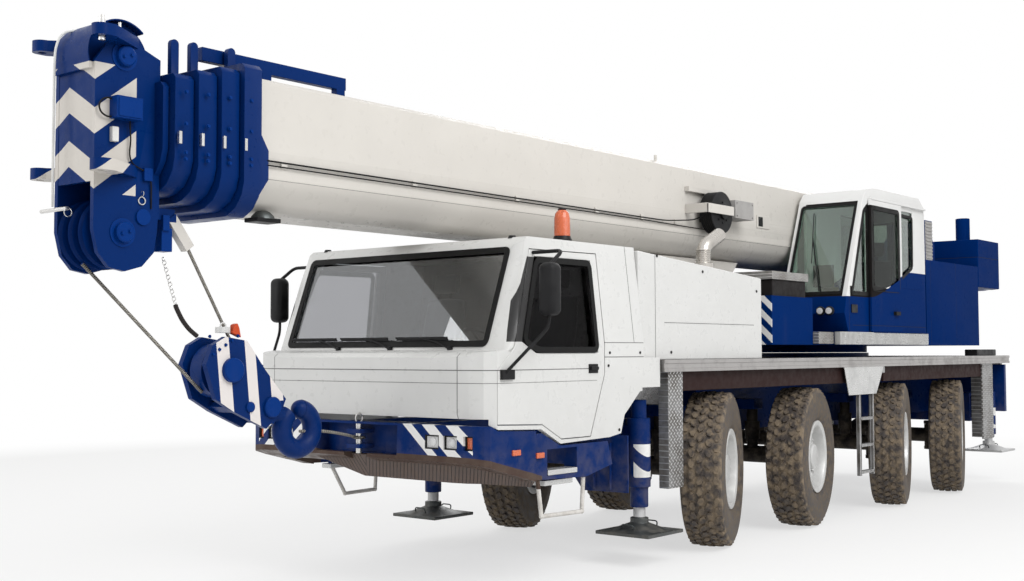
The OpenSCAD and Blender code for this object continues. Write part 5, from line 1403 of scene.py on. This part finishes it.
class CRANE_OT_boom(bpy.types.Operator):
    """Telescopic boom with its collars, cable reel, head and fittings"""

    bl_idname = "crane.boom"
    bl_label = "Boom"

    def execute(self, context):
        softened("boom_base", "base_section", "boom", "cream_paint", "boom_paint", 0.005, angle=42.0)
        softened("boom_fittings", "base_fittings", "boom", "cream_paint", "fitting_paint", 0.006)
        for k in (2, 3, 4):
            softened(f"boom_section_{k}", f"telescope_{k}", f"section_{k}", "cream_paint", f"boom_paint_{k}", 0.005,
                     angle=42.0)
        softened("boom_head", "head_frame", "head", "blue_paint", "head_paint", 0.005, angle=42.0)
        self.collar_fittings()
        self.reel()
        self.base_cables()
        self.flood_lamp()
        self.head_caps()
        self.head_guard()
        self.head_boxes()
        self.head_cables()
        return {"FINISHED"}

    def collar_fittings(self):
        """Guide pads and bolts on the collars' sides."""
        for k, body in enumerate(("boom", "section_2", "section_3", "section_4")):
            x = COLLAR_X + 0.14 + COLLAR_STEP * k
            y = 0.48 - 0.028 * k
            bm, bolts = bmesh.new(), bmesh.new()
            block(bm, (x - 0.025, y - 0.02, 3.02), (x - 0.004, y + 0.006, 3.10))
            for z in (2.93, 2.97, 3.15, 3.35):
                bolt(bolts, (x - 0.055, y - 0.001, z), (0, 1, 0), 0.011)
            both_sides(bm)
            both_sides(bolts)
            fitted(f"guide_pads_{k + 1}", bm, body, "steel", "bright_steel", bevel=0.003)
            fitted(f"collar_bolts_{k + 1}", bolts, body, "blue_paint", "box_blue")

    def reel(self):
        """Cable reel on the boom's left side."""
        bm = bmesh.new()
        hub = (-1.05, 0.0, 3.09)
        turned(bm, [(0.0, 0.608), (0.205, 0.608), (0.208, 0.612), (0.205, 0.618), (0.12, 0.618), (0.10, 0.626),
                    (0.07, 0.63),
                    (0.07, 0.655), (0.05, 0.663), (0.0, 0.663)], hub, (0, 1, 0), 40)
        turned(bm, [(0.0, 0.484), (0.205, 0.484), (0.208, 0.488), (0.205, 0.494), (0.0, 0.494)], hub, (0, 1, 0), 40)
        for k in range(8):
            a = 2 * pi * k / 8
            bolt(bm, (hub[0] + 0.10 * cos(a), 0.622, hub[2] + 0.10 * sin(a)), (0, 1, 0), 0.010)
        fitted("reel_flanges", bm, "boom", "black_paint", "black_plastic", merge=True)
        bm = bmesh.new()
        for i in range(5):
            ring(bm, (hub[0], 0.505 + 0.022 * i, hub[2]), (0, 1, 0), 0.196, 0.010, 40)
        fitted("reel_winding", bm, "boom", "black_paint", "seal_rubber", merge=True)
        bm = bmesh.new()
        block(bm, (-1.68, 0.421, 3.06), (-1.31, 0.62, 3.24))
        for z in (3.085, 3.215):
            for x in (-1.65, -1.34):
                bolt(bm, (x, 0.62, z), (0, 1, 0), 0.008)
        fitted("reel_box", bm, "boom", "steel", "grey_plastic", bevel=0.008, segments=3)
        clips = [((x - 0.025, 0.418, 2.945), (x + 0.025, 0.436, 2.995)) for x in (4.35, 3.1, 1.9, 0.8, 0.08, -0.5)]
        boxes("boom_brackets", "boom", "cream_paint", "boom_paint", ((-1.213, 0.421, 3.28), (-0.678, 0.47, 3.33)),
              ((-1.20, 0.655, 3.065), (-0.68, 0.668, 3.155)), ((-0.71, 0.421, 3.065), (-0.68, 0.668, 3.155)),
              ((-2.371, 0.419, 3.031), (-2.104, 0.43, 3.168)), ((-0.252, 0.36, 3.46), (-0.228, 0.384, 3.59)), *clips,
              bevel=0.004)
        # A thin black sheet stands for the opening in the plate: painted shade for its dark inside.
        boxes("panel_opening_shade", "boom", "black_paint", "black_plastic", ((-2.225, 0.427, 3.05), (-2.131, 0.4315, 3.15)))

    def base_cables(self):
        """Two lines clipped along the base section, one of them rising to the reel."""
        bm = bmesh.new()
        line = [(4.50, 0.437, 2.985), (0.08, 0.437, 2.968), (-0.30, 0.445, 2.965), (-0.72, 0.50, 3.0),
                (-0.86, 0.545, 3.06)]
        swept(bm, rounded(line, 0.12), 0.006, 8)
        line = [(4.50, 0.437, 2.955), (0.08, 0.437, 2.945), (-1.13, 0.437, 2.93), (-1.32, 0.45, 2.97),
                (-1.40, 0.46, 3.055)]
        swept(bm, rounded(line, 0.10), 0.005, 8)
        fitted("boom_cables", bm, "boom", "black_paint", "seal_rubber")

    def flood_lamp(self):
        """Work lamp under the base collar."""
        foot = Vector((4.42, 0.30, 2.665))
        boxes("flood_lamp_frame", "boom", "black_paint", "black_plastic",
              (foot + Vector((-0.10, -0.07, -0.075)), foot + Vector((0.10, 0.07, -0.045))), bevel=0.006)
        bm = bmesh.new()
        turned(bm, [(0.0, 0.005), (0.03, 0.005), (0.05, -0.005), (0.075, -0.03), (0.082, -0.05), (0.0, -0.05)], foot,
               (0, 0, 1), 28)
        fitted("flood_lamp_bell", bm, "boom", "steel", "pad_steel", merge=True)

    def head_caps(self):
        """Caps of the two sheave axles, with their bolts."""
        bm = bmesh.new()
        for z in (2.46, 3.54):
            for sign in (-1, 1):
                turned(bm, [(0.0, HEAD_SIDE), (0.088, HEAD_SIDE), (0.088, 0.222), (0.062, 0.222), (0.062, 0.25),
                            (0.054, 0.257), (0.0, 0.257)],
                       (SHEAVE_X, 0, z), (0, sign, 0), 32)
                for turn in (-1, 1):
                    bolt(bm, (SHEAVE_X + 0.026 * turn, sign * 0.257, z - 0.008 * turn), (0, sign, 0), 0.010)
        turned(bm, [(0.0, HEAD_SIDE), (0.05, HEAD_SIDE), (0.05, 0.228), (0.0, 0.23)], (5.29, 0, 2.565), (0, 1, 0), 24)
        fitted("axle_caps", bm, "head", "blue_paint", "box_blue", merge=True)

    def head_guard(self):
        """Rope guard tube in front of the sheaves, and the bright pins."""
        bm = bmesh.new()
        line = [(5.55, -0.12, 3.735), (5.655, -0.12, 3.70), (5.695, -0.12, 3.60), (5.70, -0.12, 3.45),
                (5.70, -0.12, 2.62)]
        swept(bm, rounded(line, 0.06), 0.008, 8)
        fitted("rope_guard", bm, "head", "white_paint", "white_plastic")
        bm = bmesh.new()
        rod(bm, (5.69, -0.26, 2.60), (5.69, 0.03, 2.60), 0.013, 14)
        ring(bm, (5.69, 0.04, 2.575), (0, 1, 0), 0.026, 0.004)
        ring(bm, (5.30, 0.222, 2.665), (0, 1, 0), 0.024, 0.004)
        ring(bm, (5.30, 0.226, 2.71), (1, 0, 0), 0.016, 0.003)
        rod(bm, (5.66, 0.33, 3.58), (5.66, 0.33, 3.73), 0.02, 16)
        rod(bm, (5.46, 0.205, 3.60), (5.46, 0.205, 3.745), 0.011, 12)
        fitted("head_pins", bm, "head", "steel", "bright_steel", merge=True)

    def head_boxes(self):
        """Junction boxes and the limit switch on the head's left side."""
        boxes("junction_boxes", "head", "blue_paint", "box_blue", ((5.35, HEAD_SIDE, 3.145), (5.53, 0.30, 3.28)),
              ((5.36, 0.30, 3.155), (5.52, 0.307, 3.27)), ((5.05, 0.04, 2.50), (5.10, 0.16, 2.60)),
              ((5.02, 0.055, 2.37), (5.10, 0.145, 2.52)), ((5.235, HEAD_SIDE, 2.79), (5.295, 0.24, 2.87)),
              bevel=0.008, segments=3)
        boxes("limit_switch", "head", "white_paint", "white_plastic", ((5.483, HEAD_SIDE, 3.005), (5.528, 0.25, 3.096)),
              bevel=0.006, segments=3)

    def head_cables(self):
        """Free leads at the junction box, and the limit chain with its sleeve."""
        lead = [(5.526, 0.236, 3.262), (5.56, 0.240, 3.265), (5.60, 0.243, 3.245), (5.617, 0.243, 3.208),
                (5.60, 0.240, 3.171),
                (5.56, 0.238, 3.152), (5.526, 0.236, 3.155)]
        cable("box_lead", smooth(lead, 4), 0.011, "head", "seal_rubber")
        lead = [(5.40, 0.236, 3.15), (5.398, 0.238, 3.08), (5.395, 0.238, 3.02), (5.397, 0.232, 2.94),
                (5.372, 0.230, 2.885),
                (5.315, 0.228, 2.86), (5.262, 0.229, 2.835), (5.240, 0.229, 2.78), (5.236, 0.226, 2.70),
                (5.232, 0.220, 2.62)]
        cable("switch_lead", smooth(lead, 3), 0.010, "head", "seal_rubber")
        top, foot, end = Vector((5.058, 0.1, 2.335)), Vector((4.953, 0.1, 2.017)), Vector((4.79, 0.098, 1.838))
        bm = bmesh.new()
        run, across, links = foot - top, Vector((0, 1, 0)), 14
        for i in range(links):
            side = across if i % 2 else run.normalized().cross(across)
            ring(bm, top + run * (i + 0.5) / links, side, 0.0135, 0.0030, 10)
        fitted("limit_chain", bm, "hook", "steel", "bright_steel", merge=True)
        line = [foot + Vector((0.006, 0, 0.02)), foot, foot + Vector((-0.045, 0, -0.075)),
                foot + Vector((-0.10, 0, -0.135)), end]
        cable("chain_sleeve", smooth(line, 5), 0.030, "hook", "sleeve_rubber")


class CRANE_OT_hook_block(bpy.types.Operator):
    """Hook block with its falls, caps and tie-down sling"""

    bl_idname = "crane.hook_block"
    bl_label = "Hook block"

    def execute(self, context):
        softened("hook_block", "hook_frame", "hook", "blue_paint", "block_paint", 0.012, 3)
        self.falls()
        self.caps()
        self.sling()
        return {"FINISHED"}

    def falls(self):
        """Wire rope from the head's lower sheave and from the wedge socket down to the block."""
        bm = bmesh.new()
        for top, side in ((Vector((5.567, 0, 2.274)), 1), (Vector((4.885, 0.12, 2.40)), -1)):
            swept(bm, [top, (top + self.touch(top, side)) / 2, self.touch(top, side)], 0.0112, 12)
        fitted("rope_falls", bm, "hook", "steel", "wire_rope")

    def touch(self, top, side):
        """Where a line from a point touches the block's sheave."""
        centre, radius = Vector((4.547, 1.610)), 0.1903
        run = centre - Vector((top.x, top.z))
        way, k = run.normalized(), radius / run.length
        spot = centre + radius * (side * Vector((-way.y, way.x)) * (1 - k * k) ** 0.5 - way * k)
        return Vector((spot.x, 0.0, spot.y))

    def caps(self):
        bm = bmesh.new()
        for sign in (-1, 1):
            for x, z, r, out in ((4.546, 1.614, 0.082, 0.185), (4.21, 1.358, 0.07, 0.178), (4.395, 1.365, 0.035, 0.17)):
                turned(bm, [(0.0, 0.146), (r, 0.146), (r, out - 0.008), (r - 0.008, out), (0.0, out)], (x, 0, z),
                       (0, sign, 0), 32)
            for k in range(5):
                bolt(bm, (4.70 - 0.05 * k, sign * 0.149, 1.72 + 0.03 * k), (0, sign, 0), 0.009)
        fitted("block_caps", bm, "hook", "blue_paint", "box_blue", merge=True)
        line = [(4.47, 1.83), (4.545, 1.86), (4.525, 1.915), (4.50, 1.925), (4.485, 1.895)]
        plates("latch_lever", "hook", "lamp", "orange_plastic", "y", (line, 0.10, 0.15), bevel=0.006, segments=3)
        bm = bmesh.new()
        block(bm, (4.545, 0.06, 1.86), (4.62, 0.13, 1.90))
        ring(bm, (4.58, 0.095, 1.905), (0, 1, 0), 0.022, 0.006)
        fitted("rope_clamp", bm, "hook", "steel", "rim_grey", bevel=0.005)

    def sling(self):
        """Short rope that ties the hook down to the towing pin."""
        bm = bmesh.new()
        swept(bm, smooth([(3.83, 0, 1.17), (3.62, 0, 1.16), (3.45, 0, 1.135), (3.285, 0, 1.10)], 4), 0.011, 10)
        ring(bm, (3.25, 0, 1.095), (0, 0, 1), 0.042, 0.010, 20)
        fitted("tie_down_sling", bm, "hook", "steel", "wire_rope", merge=True)


class CRANE_PT_sidebar(bpy.types.Panel):
    """Shows the crane's colours and sizes, and a button for each step"""

    bl_idname = "CRANE_PT_sidebar"
    bl_label = "Crane"
    bl_space_type = "VIEW_3D"
    bl_region_type = "UI"
    bl_category = "Crane"

    def draw(self, context):
        for group in (context.scene.crane_colours, context.scene.crane_sizes):
            for prop in group.bl_rna.properties:
                if prop.identifier not in ("rna_type", "name"):
                    self.layout.prop(group, prop.identifier)
        for step in STEPS:
            self.layout.operator(step.bl_idname)


STEPS = (CRANE_OT_stage, CRANE_OT_finishes, CRANE_OT_carrier, CRANE_OT_wheels, CRANE_OT_driver_cab, CRANE_OT_bumper,
         CRANE_OT_outriggers, CRANE_OT_upper, CRANE_OT_crane_cab, CRANE_OT_boom, CRANE_OT_hook_block)
CLASSES = (CraneColours, CraneSizes, *STEPS, CRANE_PT_sidebar)


def register():
    for cls in CLASSES:
        bpy.utils.register_class(cls)
    bpy.types.Scene.crane_colours = PointerProperty(type=CraneColours)
    bpy.types.Scene.crane_sizes = PointerProperty(type=CraneSizes)


def unregister():
    del bpy.types.Scene.crane_sizes
    del bpy.types.Scene.crane_colours
    for cls in reversed(CLASSES):
        bpy.utils.unregister_class(cls)


def main():
    register()
    for step in STEPS:
        group, name = step.bl_idname.split(".")
        getattr(getattr(bpy.ops, group), name)()
    bpy.context.view_layer.update()


if __name__ == "__main__":
    main()
